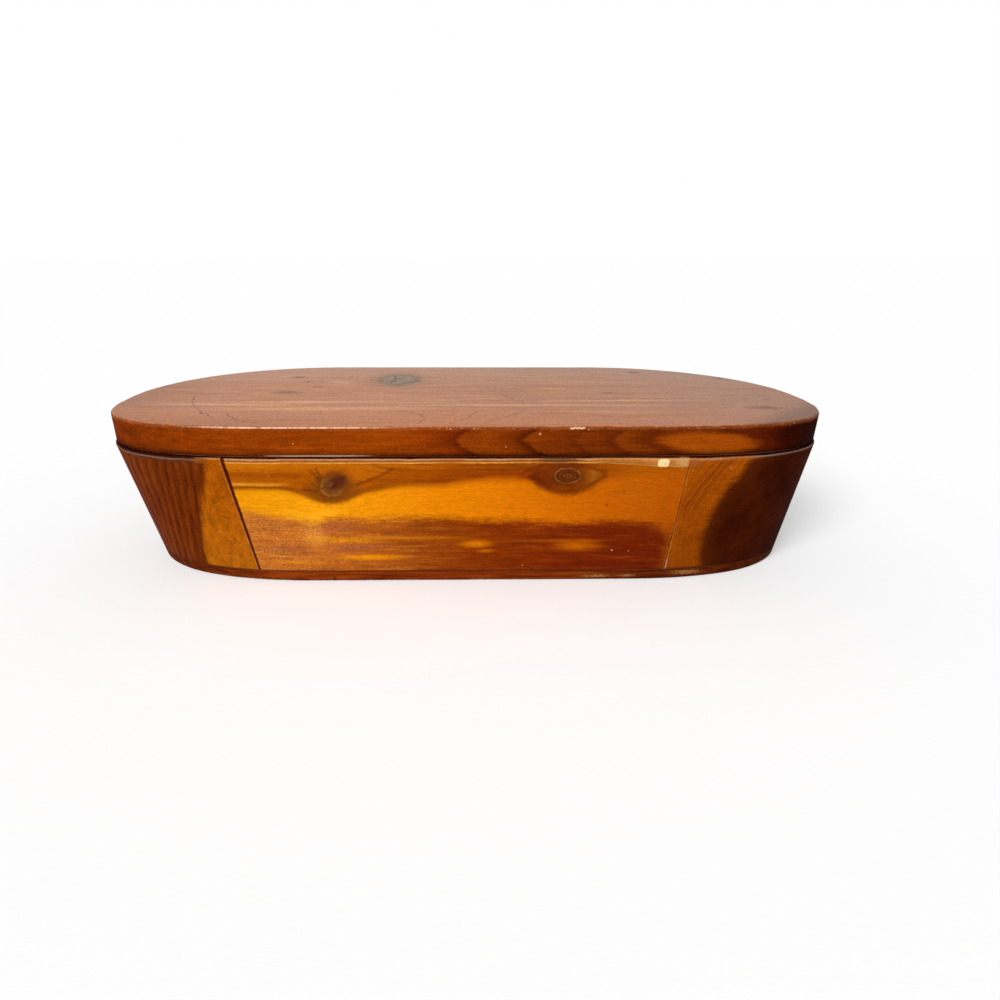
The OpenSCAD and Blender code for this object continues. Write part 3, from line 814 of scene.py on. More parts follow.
def backFinish(name, look):
    finish, x, y, z = startFinish(name)
    bend = grain(x / 70, 0.0, z / 30, seed=71.0)
    w = z + (bend - 0.5) * 16.0 - bent(x, z, (63.0, 24.0), (14.0, 9.0))
    streak = grain(x / 26, y / 2, w / 0.9, 4.0, 0.6, 14.0)
    fibre = grain(x / 2.4, y / 0.6, w / 0.34, 3.0, 0.6, 19.0)
    fuzz = grain(x / 1.2, y / 0.6, z / 0.8, 3.0, 0.65, 25.0)
    cloud = grain(x / 7, y / 5, w / 3.0, 3.0, 0.55, 45.0)
    speck = grain(x / 0.75, y / 0.75, z / 0.6, 2.0, 0.6, 19.0)
    level = w + uneven((streak, 3.6), (fibre, 2.4), (fuzz, 1.8), (cloud, 5.0))
    red = ramp(grain(x / 30, 0.0, w / 1.8, 3.0, 0.6, 81.0), 0.2, 0.85, look["red"])
    red = shaded(red, 0.7 + 0.6 * cloud)
    colour = mixed(smooth(level, 16.5, 10.5), red, ramp(cloud, 0.3, 0.7, look["gold"]))
    colour = dab(colour, smooth(level, 43.0, 48.0), look["amber"], 0.8)
    knot = root(spot(x, z, (63.0, 24.0), (4.2, 3.0), 12)) + (fuzz - 0.5) * 0.3
    colour = figured(colour, knot, look["rings"])
    colour = shaded(colour, 0.4 + streak * 0.34 + fibre * 0.5 + fuzz * 0.36 + (speck - 0.5) * 0.4)
    colour = rimWearAndLight(colour, x, y, z, "back", "back", 0.0)
    for side, sign in (("leftJoint", 1.0), ("rightJoint", -1.0)):
        colour = dab(colour, smooth((x - jointX(side, z)) * sign, 0.45, 0.1), "#3a1404", 0.8)
    colour = dab(colour, smooth(z, baseTop + 0.7, baseTop + 0.2), "#4a1604", 0.7)
    endFinish(colour, 0.34 + (streak - 0.5) * 0.15, fibre * 0.5 + streak * 0.6, wallGloss)
    return finish


woodFront = frontFinish("cedarFront", frontLook)
woodBack = backFinish("cedarBack", backLook)
print("board finishes made")

# The end blocks: end grain, with heartwood and sapwood
leftLook = {
    "amber": [(8.0, "#b1620b"), (45.0, "#a65205")], "line": "#481704",
    "brown": [(0.25, "#6c2905"), (0.75, "#7f3807")],
    "scratches": [((-103.5, 32.2), (-94.5, 29.6)), ((-97.0, 21.5), (-93.0, 17.5)),
                  ((-98.6, 19.8), (-96.6, 17.0))],
}
rightLook = {
    "amber": [(0.3, "#8e3f04"), (0.7, "#ad5606")], "line": "#662603",
    # the dark heartwood colours are partly the wood and partly painted shade on this end, which is turned
    # away from the light
    "dark": [(0.3, "#360e02"), (0.7, "#4a1803")], "deep": "#280702",
}


def leftFinish(name, look):
    finish, x, y, z = startFinish(name)
    drift = grain(x / 9, y / 40, z / 16)
    pores = grain(x / 0.6, y / 9, z / 0.6, 3.0, 0.6, 7.0)
    rays = grain(x / 0.8, y / 20, z / 9, 3.0, 0.6, 17.0)
    cloud = grain(x / 3.5, y / 30, z / 5, 3.0, 0.6, 47.0)
    speck = grain(x / 0.75, y / 3, z / 0.75, 2.0, 0.6, 27.0)
    fan = x + (57.0 - z) * (0.15 + (x + 103.0) * 0.0068)
    turns = (fan + uneven((drift, 4.6), (rays, 1.6))) / 4.2
    late = growth(turns, 0.1, 0.6, 0.72) * (0.35 + 0.9 * smooth(rays, 0.35, 0.65))
    brown = dab(ramp(drift, 0.25, 0.75, look["brown"]), late, look["line"], 0.7)
    amber = shaded(ramp(z, 8.0, 45.0, look["amber"]), 0.25 + 0.5 * rays + cloud)
    share = (z - 5.0) / 52.0
    past = x + 110.6 - 10.5 * share * share + uneven((drift, 2.5), (rays, 3.0), (pores, 1.6))
    colour = mixed(smooth(past, 2.4, -1.8), amber, brown)
    colour = dab(colour, strip(past, -1.2, 2.2, 0.0), "#5a2004", 0.4)
    colour = shaded(colour, 0.7 * pores + speck + 0.3 * cloud)
    for begin, end in look["scratches"]:
        colour = dab(colour, stroke(x, z + (pores - 0.5) * 0.8, begin, end, 0.4), "#4a1a04", 0.45)
    colour = rimWearAndLight(colour, x, y, z, "left", "front", -103.0)
    colour = footLine(colour, z, rays, "#3a1003")
    gap = jointX("leftJoint", z) - x
    # a pale line beside the joint: a painted highlight on the block's eased corner
    colour = dab(colour, strip(gap, 0.75, 0.35, 0.08) * smooth(drift + pores, 0.85, 1.15), "#c48c54", 0.45)
    colour = dab(colour, smooth(gap + (pores - 0.5) * 0.4, 0.4, 0.1), "#4a0a05", 0.85)
    rough = 0.36 + (pores - 0.5) * 0.15 + smooth(z, 55.0, 55.8) * 0.25
    endFinish(colour, rough, pores * 0.4 + rays * 0.3 + fract(turns) * 0.15, wallGloss)
    return finish


def rightFinish(name, look):
    finish, x, y, z = startFinish(name)
    drift = grain(x / 12, y / 40, z / 14)
    pores = grain(x / 0.6, y / 9, z / 0.6, 3.0, 0.6, 7.0)
    rays = grain(x / 6, y / 20, z / 0.9, 3.0, 0.6, 17.0)
    blotch = grain(x / 4, y / 30, z / 4, 3.0, 0.6, 57.0)
    strands = grain(x / 8, y / 50, z / 0.8, 3.0, 0.6, 87.0)
    speck = grain(x / 0.75, y / 3, z / 0.75, 2.0, 0.6, 27.0)
    r = root(spot(x, z, (150.0, 17.0), (1.0, 1.0))) + (drift - 0.5) * 4.0
    late = growth(r / 3.1 + (drift - 0.5) * 1.2, 0.2, 0.8, 0.85)
    thin = growth(r / 1.3 + (drift - 0.5) * 2.0, 0.2, 0.8, 0.85)
    near = strip(r, 64.0, 7.0, 0.0) * smooth(z, 26.0, 42.0)
    amber = ramp(rays * 0.5 + drift * 0.5, 0.3, 0.7, look["amber"])
    amber = shaded(amber, 0.92 + 0.24 * smooth(z, 15.0, 45.0))
    amber = dab(amber, late * 0.12 + thin * (0.14 + 0.4 * near) + late * near * 0.25, look["line"])
    dark = dab(ramp(drift, 0.3, 0.7, look["dark"]), late, look["deep"], 0.15)
    dark = shaded(dark, 0.6 + 0.8 * blotch)
    dark = dab(dark, smooth(r + (rays - 0.5) * 4.0, 44.0, 53.0), "#5c2405", 0.6)
    dark = dab(dark, smooth(strands, 0.5, 0.68) * smooth(y, -45.0, -5.0), "#7a3410", 0.35)
    past = r - 0.8 - 1.7 * smooth(z, 42.0, 56.0) + uneven((rays, 2.0), (pores, 1.6))
    colour = mixed(smooth(past, 55.2, 50.6), amber, dark)
    colour = shaded(colour, 0.15 + 0.7 * pores + speck)
    seam = x - jointX("rightJoint", z)
    # pale lines along the joint: a painted highlight on its edge, broken up in patches
    patchiness = 0.15 + 0.85 * smooth(drift + pores, 0.85, 1.2)
    colour = dab(colour, strip(seam, 0.3, 0.4, 0.12) * patchiness, "#bc7830", 0.45)
    colour = dab(colour, strip(seam, 0.3, 0.6, 0.1) * smooth(z, 12.0, 8.0), "#c09078", 0.6)
    colour = dab(colour, smooth(seam, 0.14, 0.04), "#5a2406", 0.7)
    colour = dab(colour, smooth(spot(x, z, (102.0, 52.0), (0.35, 0.9), 40), 1.3, 0.5), "#b0784a", 0.8)
    colour = rimWearAndLight(colour, x, y, z, "rightAmber", "right", 112.0)
    torn = blot(x, z, (87.0, 54.4), (2.4, 2.0), (pores - 0.5) * 2.4, 1.2, 0.5)
    colour = dab(colour, torn * smooth(y, -68.0, -70.0), "#9a5a30", 0.45)
    colour = footLine(colour, z, rays, "#2c0a02")
    rough = 0.36 + (pores - 0.5) * 0.15 + smooth(z, 55.0, 55.8) * 0.2
    endFinish(colour, rough, pores * 0.4 + rays * 0.3, {**wallGloss, "coat": 0.025})
    return finish


woodLeft = leftFinish("cedarLeftBlock", leftLook)
woodRight = rightFinish("cedarRightBlock", rightLook)
print("block finishes made")

# The lid: satin red cedar on top, glossier and darker on the edge
lidTone = {
    "top": [(0.3, "#a8693f"), (0.5, "#ba7950"), (0.7, "#c58860")], "streak": "#d3966a", "dark": "#855033",
    # colours along the edge; the darkest ones towards the right end are partly the wood and partly painted
    # shade
    "edge": [(-150, "#6c2804"), (-110, "#863504"), (-40, "#973f04"), (-16, "#8c3704"), (-8, "#7c2c04"),
             (-4.4, "#682204"), (-3.4, "#682204"), (-2.2, "#8a3a06"), (9, "#8a3905"), (17, "#7a2f04"),
             (21.2, "#5a1e04"), (22.6, "#5a1d03"), (23.8, "#843606"), (34, "#7a2f04"), (40, "#6c2904"),
             (42, "#6b2804"), (43.4, "#783105"), (51, "#722b04"), (55.4, "#632404"), (57, "#652504"),
             (58.4, "#7c3506"), (72, "#6c2804"), (112, "#581a03"), (124, "#340a01"), (150, "#240501")],
    # brightness along x: painted shade towards both ends, where the light falls off
    "paintedFalloff": [(-152, 0.84), (-120, 1.06), (-60, 1.08), (20, 1.0), (90, 0.93), (152, 0.82)],
    "pale": [((-60.0, -42.5), (58.0, 4.5)), ((30.0, -36.0), (60.0, 3.2)), ((-66.0, -28.0), (36.0, 3.0)),
             ((-104.0, -34.0), (34.0, 3.0)), ((66.0, -26.0), (36.0, 2.4)), ((41.5, 5.6), (7.0, 1.6)),
             ((-63.0, 25.0), (8.0, 2.4)), ((60.0, -49.0), (30.0, 1.8))],
    "knot": (-34.2, 31.0),
    "rings": [(0.0, "#8a7258", 0.9), (0.5, "#927a60", 0.85), (0.85, "#776046", 0.8), (1.05, "#946e4c", 0.55),
              (1.7, "#a06a46", 0.0)],
    "checks": [((-37.5, 44.0), (-35.8, 32.0)), ((-35.8, 32.0), (-38.5, 20.0)), ((-35.8, 32.0), (-32.0, 38.0)),
               ((-33.0, 20.0), (-23.0, 27.0))],
    "cracks": [((-28, -46.5), (-20, -54)), ((-20, -54), (-17.5, -62)), ((-17.5, -62), (-20, -71)),
               ((-8, -72), (-1, -61)), ((-1, -61), (3.6, -49)), ((6, -68), (14, -60.5)),
               ((14, -60.5), (24, -46)), ((17, -13.5), (22, -25)), ((22, -25), (25.5, -33)),
               ((-8.0, -36.0), (6.0, -41.0)), ((-124, -12), (-121.5, -25)),
               ((-121.5, -25), (-115.5, -39)), ((-115.5, -39), (-107.5, -53)), ((-99, -52), (-90, -65)),
               ((-90, -65), (-82, -70.5)), ((-108, -50), (-101, -61)), ((48, -52), (58, -60))],
    # x, y and half sizes of dark marks on top
    "marks": [(-87.5, 39.4, 5.0, 4.4), (-79.7, 25.3, 1.8, 2.6), (-84.5, -5.0, 8.0, 4.6),
              (-72.5, 11.0, 3.0, 2.6), (67.0, -6.5, 4.0, 2.4), (93.5, 55.0, 4.5, 4.4),
              (134.3, 34.6, 3.6, 3.4), (135.0, -24.0, 2.0, 2.4), (126.5, -41.5, 9.0, 5.0)],
    # x, z and size of nicks in the edge
    "nicks": [(-109.1, 65.9, 0.4), (-66.9, 62.9, 0.32), (1.5, 68.6, 0.45), (13.7, 61.4, 0.34),
              (26.5, 66.5, 0.8), (-7.5, 68.5, 0.5), (44.9, 68.3, 0.5)],
}


def lidTopFigure(x, y, across, broad, streak, fibre, fuzz, look):
    band = grain(x / 26, across / 4.2, 0.0, 4.0, 0.6, 83.0)
    lines = grain(x / 110, across / 1.1, 0.0, 3.0, 0.55, 95.0)
    blush = grain(x / 34, across / 10, 0.0, 3.0, 0.55, 53.0)
    dots = grain(x / 1.2, y / 5.0, 0.0, 3.0, 0.65, 77.0)
    sway = grain(x / 5, y / 5, 0.0, seed=73.0) - 0.5
    top = ramp(broad * 0.5 + band * 0.35 + streak * 0.15, 0.0, 1.0, look["top"])
    tone = band + (streak - 0.5) * 0.2
    top = dab(top, smooth(tone, 0.54, 0.74), look["streak"], 0.5)
    top = dab(top, smooth(tone, 0.46, 0.28), look["dark"], 0.3)
    top = dab(top, smooth(lines, 0.54, 0.68), "#824628", 0.45)
    ragged = uneven((streak, 2.2), (fibre, 1.2))
    for place, size in look["pale"]:
        top = dab(top, blot(x, across, place, size, ragged, 1.3, 0.1), "#e6a676", 0.75)
    top = dab(top, smooth(blush, 0.46, 0.66), "#b47864", 0.4)
    top = dab(top, smooth(blush, 0.5, 0.34), "#cf8a58", 0.3)
    top = dab(top, smooth(y + (streak - 0.5) * 30.0, -30.0, -62.0), "#c4733f", 0.55)
    top = dab(top, smooth(y + (band - 0.5) * 40.0, 5.0, 60.0), "#b29280", 0.35)
    top = dab(top, smooth(x + (band - 0.5) * 40.0, 40.0, 140.0), "#ab8c7a", 0.3)
    # painted shade towards both ends of the top
    top = shaded(top, curve(x, look["paintedFalloff"]))
    top = shaded(top, 0.7 + 0.6 * dots)
    # painted shade over the right end of the top
    top = dimmed(top, smooth(x - y + (band - 0.5) * 8.0, 171.0, 192.0) * 0.65, 0.3)
    margin = smooth(y + (streak - 0.5) * 16.0, -46.0, -68.0) * smooth(x, -40.0, -85.0)
    top = dimmed(top, margin * 0.4, 0.55)
    # the knot with its checks, then cracks and marks
    r = root(spot(x, y, look["knot"], (11.5, 18.5))) + (fuzz - 0.5) * 0.4 + sway * 0.5
    top = figured(top, r, look["rings"], 0.65 + 0.7 * fuzz)
    rings = growth(r * 3.4 + sway * 0.8, 0.45, 0.85, 0.88) * smooth(r, 1.1, 0.95)
    top = dab(top, rings, "#5c4630", 0.35)
    for begin, end in look["checks"]:
        top = dab(top, stroke(x + sway * 4.0 + (fuzz - 0.5) * 1.6, y, begin, end, 0.9, 0.05), "#2a1a10", 0.8)
    shift = sway * 3.2 + (fuzz - 0.5) * 0.6
    for begin, end in look["cracks"]:
        crack = stroke(x + shift, y + shift * 0.8, begin, end, 0.46, 0.03)
        top = dab(top, crack * (0.55 + 0.9 * band), "#4a1c10", 0.6)
    for mx, my, rx, ry in look["marks"]:
        top = dab(top, blot(x, y, (mx, my), (rx, ry), (fuzz - 0.5) * 2.2, 1.2, 0.2), "#6e3820", 0.7)
    return top


def lidEdgeFigure(x, y, z, streak, fuzz, look):  # chevrons along the edge, a pale oval on the right, and painted shade along the lower edge
    cloud = grain(x / 8, y / 8, z / 2.4, 3.0, 0.6, 49.0)
    lift = z - 64.0
    arm = root(lift * lift + 1.2) * 1.2 - 1.3 + lift * lift * 0.05
    chevron = x + 2.2 - arm + uneven((streak, 3.6), (fuzz, 1.2), (cloud, 3.0))
    edge = shaded(ramp(chevron, -150, 150, look["edge"]), 0.2 + 0.8 * streak + 0.8 * cloud)
    edge = dimmed(edge, blot(x, z, (-131.0, 64.6), (5.0, 2.0), fuzz - 0.5, 1.4, 0.2) * 0.6, 0.5)
    oval = root(spot(x, z, (92.0, 62.6), (20.0, 4.4), -4)) + uneven((streak, 0.6), (fuzz, 0.35))
    frontHalf = smooth(y, 0.0, -30.0)
    edge = dab(edge, strip(oval, 1.25, 0.35, 0.05) * frontHalf, "#5a1c04", 0.45)
    edge = dab(edge, smooth(oval, 1.2, 0.7) * frontHalf, "#a24a06", 0.9)
    # painted shade along the lower edge, in the gap above the rim
    edge = dimmed(edge, smooth(z, 61.0, 57.8) * 0.7, 0.35)
    return dimmed(edge, smooth(z, 58.9, 57.6) * 0.75, 0.3)


def lidEdgeWear(colour, x, y, z, fuzz, lip, look):  # bare wood along the lip, painted gleams and highlight lines along the top and lower edges, and nicks
    chips = smooth(grain(x / 2.0, y / 2.0, z / 1.0, 3.0, 0.6, 33.0), 0.58, 0.7)
    colour = dab(colour, lip * chips, "#d08c58", 0.6)
    ahead = smooth(y, -71.0, -73.5)
    gleam = stroke(x, z + (fuzz - 0.5), (37.6, 68.7), (43.8, 68.8), 0.4, 0.1)
    colour = dab(colour, gleam * ahead, "#ffd4a4", 0.8)
    # a pale line along the top front edge: partly worn varnish and partly a painted highlight
    loose = x + (fuzz - 0.5) * 30.0
    bright = 0.3 + 0.7 * smooth(grain(x / 3.0, 0.0, 0.0, 3.0, 0.6, 37.0), 0.36, 0.56)
    line = smooth(loose, -114.0, -88.0) * smooth(loose, -22.0, -52.0) * bright * smooth(y, -70.0, -73.0)
    colour = dab(colour, strip(z + (fuzz - 0.5) * 0.2, lidTop - 0.5, 0.36, 0.12) * line, "#ffdcbc", 0.8)
    # a pale line along the lower front edge: partly worn and partly a painted highlight on the eased edge
    loose = x + (fuzz - 0.5) * 14.0
    low = smooth(z, 58.3, 57.9) * smooth(loose, -82.0, -70.0) * smooth(loose, -34.0, -46.0)
    colour = dab(colour, low * smooth(y, -40.0, -60.0), "#c0a08a", 0.9)
    for nx, nz, size in look["nicks"]:
        nick = blot(x, z, (nx, nz), (size * 0.7, size * 0.7), (fuzz - 0.5) * 2.4, 1.2, 0.3)
        colour = dab(colour, nick * ahead, "#f0b070", 0.75)
    return colour


def lidFinish(name, look):
    finish, x, y, z = startFinish(name)
    bend = grain(x / 60, y / 24, z / 24)
    across = y + (bend - 0.5) * 8.0 - bent(x, y, look["knot"], (26.0, 24.0), 0.8)
    broad = grain(x / 110, across / 11, z / 9, 3.0, 0.5, 3.0)
    streak = grain(x / 50, across / 2.0, z / 1.2, 4.0, 0.6, 6.0)
    fibre = grain(x / 4, across / 0.8, z / 0.4, 3.0, 0.6, 12.0)
    fuzz = grain(x / 1.3, y / 2.0, z / 0.8, 3.0, 0.65, 19.0)
    speck = grain(x / 0.8, y / 1.2, z / 0.6, 2.0, 0.6, 29.0)
    wear = grain(x / 7, y / 7, 0.0, 3.0, 0.6, 91.0) - 0.5
    top = lidTopFigure(x, y, across, broad, streak, fibre, fuzz, look)
    edge = lidEdgeFigure(x, y, z, streak, fuzz, look)
    lipBand = smooth(z + (fuzz - 0.5) * 1.2 + wear * 2.6, lidTop - 2.1, lidTop - 0.6)
    edge = dab(edge, lipBand, "#904a20", 0.55)
    upward = smooth(z + (fuzz - 0.5) * 0.4 + wear * 0.4, lidTop - 0.5, lidTop - 0.06)
    colour = mixed(upward, edge, top)
    coarse = (speck - 0.5) * (1.15 - 0.3 * upward)
    colour = shaded(colour, 0.42 + 0.5 * fibre + 0.3 * streak + 0.36 * fuzz + coarse)
    lip = smooth(z, lidTop - 1.5, lidTop - 0.8) * smooth(z, lidTop - 0.02, lidTop - 0.3)
    colour = lidEdgeWear(colour, x, y, z, fuzz, lip, look)
    rough = 0.32 + 0.16 * upward + (streak - 0.5) * 0.12
    gloss = {**lidGloss, "coat": 0.03 + upward * 0.43 + lip * 0.2}
    endFinish(colour, rough, fibre * 0.4 + streak * 0.5, gloss)
    return finish


woodLid = lidFinish("cedarLid", lidTone)
print("lid finish made")

# Base board, and the bare wood inside
baseTone = {
    "wood": [(0.3, "#5e1c05"), (0.5, "#7c3008"), (0.7, "#954410")],
    "paintedShade": [(-145, 0.5), (-95, 0.7), (-80, 1.15), (-30, 1.15), (20, 1.0), (70, 0.72), (100, 0.5),
              (146, 0.42)],
    "chips": [((53.0, 2.0), (6.0, 0.8)), ((66.0, 2.2), (4.5, 0.6)), ((91.8, 3.0), (6.8, 1.2))],
    "dent": ((-56.0, 1.6), (0.5, 1.4)),
}
bareTone = {
    "wood": [(0.3, "#9c5c44"), (0.5, "#b97a5c"), (0.7, "#c88e70")], "sap": "#d6ac80", "line": "#864836",
    "rings": [(0.0, "#4e2c1c", 0.9), (0.5, "#6a4430", 0.85), (0.85, "#553120", 0.85), (1.1, "#8c5a42", 0.5),
              (1.8, "#9a6048", 0.0)],
}


def baseFinish(name, look):
    finish, x, y, z = startFinish(name)
    bend = grain(x / 60, y / 24, z / 24) - 0.5
    across, up = y + bend * 8.0, z + bend * 4.0
    streak = grain(x / 30, across / 1.7, up / 1.2, 3.0, 0.55, 6.0)
    fibre = grain(x / 3, across / 0.5, up / 0.4, 2.0, 0.6, 12.0)
    fuzz = grain(x / 1.2, y / 1.2, z / 0.7, 3.0, 0.65, 19.0)
    wear = grain(x / 9, y / 9, 0.0, 3.0, 0.6, 93.0)
    outside = smooth(z, 0.05, 0.3)
    frontHalf = smooth(y, 0.0, -30.0)
    colour = ramp(streak, 0.0, 1.0, look["wood"])
    # painted shade: the base darker towards both ends, on the outside only
    colour = shaded(colour, 0.9 + (curve(x, look["paintedShade"]) - 0.9) * outside)
    colour = shaded(colour, 0.6 + 0.4 * fibre + 0.4 * fuzz)
    for place, size in look["chips"]:
        chip = blot(x, z, place, size, (fuzz - 0.5) * 3.2, 1.3, 0.3) * frontHalf
        colour = dab(colour, chip * outside, "#b07c4a", 0.65)
    colour = dab(colour, smooth(root(spot(x, z, *look["dent"])), 1.2, 0.4) * frontHalf, "#3a1204", 0.7)
    colour = dab(colour, smooth(z + (streak - 0.5) * 0.4, baseTop - 0.55, baseTop - 0.2), "#3c1204", 0.5)
    colour = dimmed(colour, smooth(z + (fuzz - 0.5) * 0.8, 1.0, 0.2) * 0.35, 0.5)
    scuff = smooth(z + (fuzz - 0.5) * 1.8, 1.5, 0.5) * smooth(wear, 0.46, 0.62) * outside
    colour = dab(colour, scuff * smooth(x, 60.0, 10.0), "#b4764a", 0.55)
    endFinish(colour, 0.4 + (fibre - 0.5) * 0.15, fibre * 0.5 + streak * 0.5, wallGloss)
    return finish


def bareFinish(name, look, lengthwise):  # grain along x or along y; the lid's knot comes through
    finish, x, y, z = startFinish(name)
    along, side = (x, y) if lengthwise else (y, x)
    knot = lidTone["knot"]
    lift = (z - 58.0) / 8.0
    near = bell(spot(x, y, knot, (24.0, 20.0)) + lift * lift)
    bend = grain(along / 90, side / 40, z / 40) - 0.5
    across, up = side + bend * 14.0 - (y - knot[1]) * near * 0.8, z + bend * 10.0
    broad = grain(along / 130, across / 18, up / 18, seed=3.0)
    streak = grain(along / 45, across / 1.9, up / 1.9, 4.0, 0.6, 6.0)
    fibre = grain(along / 5, across / 0.5, up / 0.5, 2.0, 0.6, 12.0)
    fuzz = grain(x / 1.2, y / 1.2, z / 1.2, 3.0, 0.65, 19.0)
    colour = ramp(broad * 0.5 + streak * 0.5, 0.0, 1.0, look["wood"])
    colour = dab(colour, smooth(broad + (streak - 0.5) * 0.25, 0.54, 0.64), look["sap"], 0.65)
    colour = dab(colour, smooth(streak, 0.44, 0.3), look["line"], 0.5)
    r = root(spot(x, y, knot, (8.0, 11.0)) + lift * lift) + (fuzz - 0.5) * 0.5
    colour = figured(colour, r, look["rings"])
    colour = shaded(colour, 0.55 + 0.45 * fibre + 0.45 * fuzz)
    endFinish(colour, 0.65 + (fibre - 0.5) * 0.15, fibre * 0.5 + streak * 0.5, bareGloss)
    return finish


def metalFinish(name, stops):
    finish, x, y, z = startFinish(name)
    cloud = grain(x / 7, y / 5, z / 3, 3.0, 0.6)
    brush = grain(x / 4, y / 0.2, z / 0.2, seed=5.0)
    colour = shaded(ramp(cloud, 0.3, 0.7, stops), 0.85 + 0.3 * brush)
    endFinish(colour, 0.3 + 0.25 * cloud, brush, metalGloss)
    return finish


woodBase = baseFinish("cedarBase", baseTone)
woodBare = bareFinish("cedarBare", bareTone, True)
blockBare = bareFinish("cedarBareBlock", bareTone, False)
brass = metalFinish("agedBrass", [(0.3, "#8a6a34"), (0.55, "#a8843f"), (0.7, "#b8954e")])
steel = metalFinish("dullSteel", [(0.3, "#5a5650"), (0.55, "#85817a"), (0.7, "#98948c")])
print("plain finishes made")


def dress(piece, body, slotName, finishes, choose, *nodes):
    for finish in finishes:
        piece.data.materials.append(finish)
    for face in piece.data.polygons:
        face.material_index = int(choose(face))
    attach(piece, body)
    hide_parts(*nodes)


def outerFace(face):
    return 0


def lidInside(face, deep=3.0):
    return face.normal.z < -0.8 and face.center.z < (lidLow + deep) * mm


def insideBox(face, lap=2.6):  # between the inner faces of the two boards, and a little way behind them
    row = bodyPlan(face.center.z / mm)
    deep = face.center.y / mm - plan["noseY"]
    return plan["wall"] - row[2] - lap < deep < row[3] - plan["wall"] + lap


def leftInside(face):
    return face.normal.x > 0.9 and insideBox(face)


def rightInside(face):
    return face.normal.x < -0.9 and insideBox(face)


dress(lidBoard, "lid", "lid_cedar", (woodLid, woodBare), lidInside, "lid_board")
dress(frontBoard, "box", "wall_cedar", (woodFront, woodBare), lambda face: face.normal.y > 0.7, "front_wall")
dress(backBoard, "box", "wall_cedar", (woodBack, woodBare), lambda face: face.normal.y < -0.7, "back_wall")
dress(leftBlock, "box", "end_cedar", (woodLeft, blockBare), leftInside, "left_end_block")
dress(rightBlock, "box", "end_cedar", (woodRight, blockBare), rightInside, "right_end_block")
dress(baseBoard, "box", "base_cedar", (woodBase, woodBare), lambda face: face.normal.z > 0.9, "base_board")


def softened(node, name, slotName, finish):  # a merged copy of a hinge part with eased edges
    piece = newObject(name, frame["nodes"][node].data.copy())
    faceOut(piece.data)
    edge = piece.modifiers.new("edge", "BEVEL")
    edge.width = 0.12 * mm
    edge.segments = 2
    edge.limit_method = "ANGLE"
    edge.angle_limit = math.radians(40)
    settle(piece)
    dress(piece, frame["nodes"][node]["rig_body"], slotName, (finish,), outerFace, node)


for side in ("left", "right"):
    for part in ("lid_leaf", "box_leaf", "pin"):
        softened(side + "_hinge_" + part, side + "_" + part, "hinge_brass", brass)

# Screws and brads: one node tree, set out on points
fastenerSizes = ("Head top", "Head foot", "Head height", "Shank", "Length", "Tip", "Slot width", "Slot depth",
                 "Turn")


def fastenerTree():
    tree = bpy.data.node_groups.new("fasteners", "GeometryNodeTree")
    tree.interface.new_socket("Geometry", in_out="INPUT", socket_type="NodeSocketGeometry")
    tree.interface.new_socket("Geometry", in_out="OUTPUT", socket_type="NodeSocketGeometry")
    for name in fastenerSizes:
        tree.interface.new_socket(name, in_out="INPUT", socket_type="NodeSocketFloat")
    tree.interface.new_socket("Finish", in_out="INPUT", socket_type="NodeSocketMaterial")
    start = Wire(tree)
    given = start.node("NodeGroupInput")
    size = {name: given.other(name) for name in fastenerSizes}

    def triple(**parts):
        return start.node("ShaderNodeCombineXYZ", {}, {key.upper(): value for key, value in parts.items()})

    def lathe(foot, top, deep, at):
        inputs = {"Vertices": 24, "Radius Top": top, "Radius Bottom": foot, "Depth": deep}
        cone = start.node("GeometryNodeMeshCone", {"fill_type": "NGON"}, inputs)
        return start.node("GeometryNodeTransform", {}, {"Geometry": cone, "Translation": triple(z=at)})

    # the head's face is at z = 0 and the shank goes down
    head = lathe(size["Head foot"], size["Head top"], size["Head height"], 0.0 - size["Head height"])
    shankLong = size["Length"] - size["Head height"] - size["Tip"]
    shank = lathe(size["Shank"], size["Shank"], shankLong, size["Tip"] - size["Length"])
    tip = lathe(size["Shank"] * 0.08, size["Shank"], size["Tip"], 0.0 - size["Length"])
    whole = start.node("GeometryNodeMeshBoolean", {"operation": "UNION", "solver": "EXACT"})
    for part in (head, shank, tip):
        tree.links.new(part.socket, whole.socket.node.inputs["Mesh 2"])
    slotSize = triple(x=size["Head top"] * 4.0, y=size["Slot width"], z=size["Slot depth"] * 2.0)
    slotBar = start.node("GeometryNodeMeshCube", {}, {"Size": slotSize})
    cut = start.node("GeometryNodeMeshBoolean", {"operation": "DIFFERENCE", "solver": "EXACT"},
                     {"Mesh 1": whole, "Mesh 2": slotBar})
    turned = start.node("GeometryNodeTransform", {}, {"Geometry": cut, "Rotation": triple(x=size["Turn"])})
    number = start.node("GeometryNodeInputIndex")
    spin = triple(z=number.math("SINE", number * 12.9) * 1.4)
    placed = start.node("GeometryNodeInstanceOnPoints", {},
                        {"Points": given.other("Geometry"), "Instance": turned, "Rotation": spin})
    real = start.node("GeometryNodeRealizeInstances", {}, {"Geometry": placed})
    finished = start.node("GeometryNodeSetMaterial", {},
                          {"Geometry": real, "Material": given.other("Finish")})
    start.node("NodeGroupOutput", {}, {"Geometry": finished})
    return tree


fasteners = fastenerTree()


def setOut(name, body, slotName, places, sizes, finish, node):
    mesh = bpy.data.meshes.new(name)
    mesh.from_pydata([tuple(c * mm for c in place) for place in places], [], [])
    piece = newObject(name, mesh)
    row = piece.modifiers.new("fasteners", "NODES")
    row.node_group = fasteners
    sockets = {s.name: s.identifier for s in fasteners.interface.items_tree if s.in_out == "INPUT"}
    for key, value in sizes.items():
        row[sockets[key]] = value if key == "Turn" else value * mm
    row[sockets["Finish"]] = finish
    settle(piece)
    dress(piece, body, slotName, (finish,), outerFace, node)


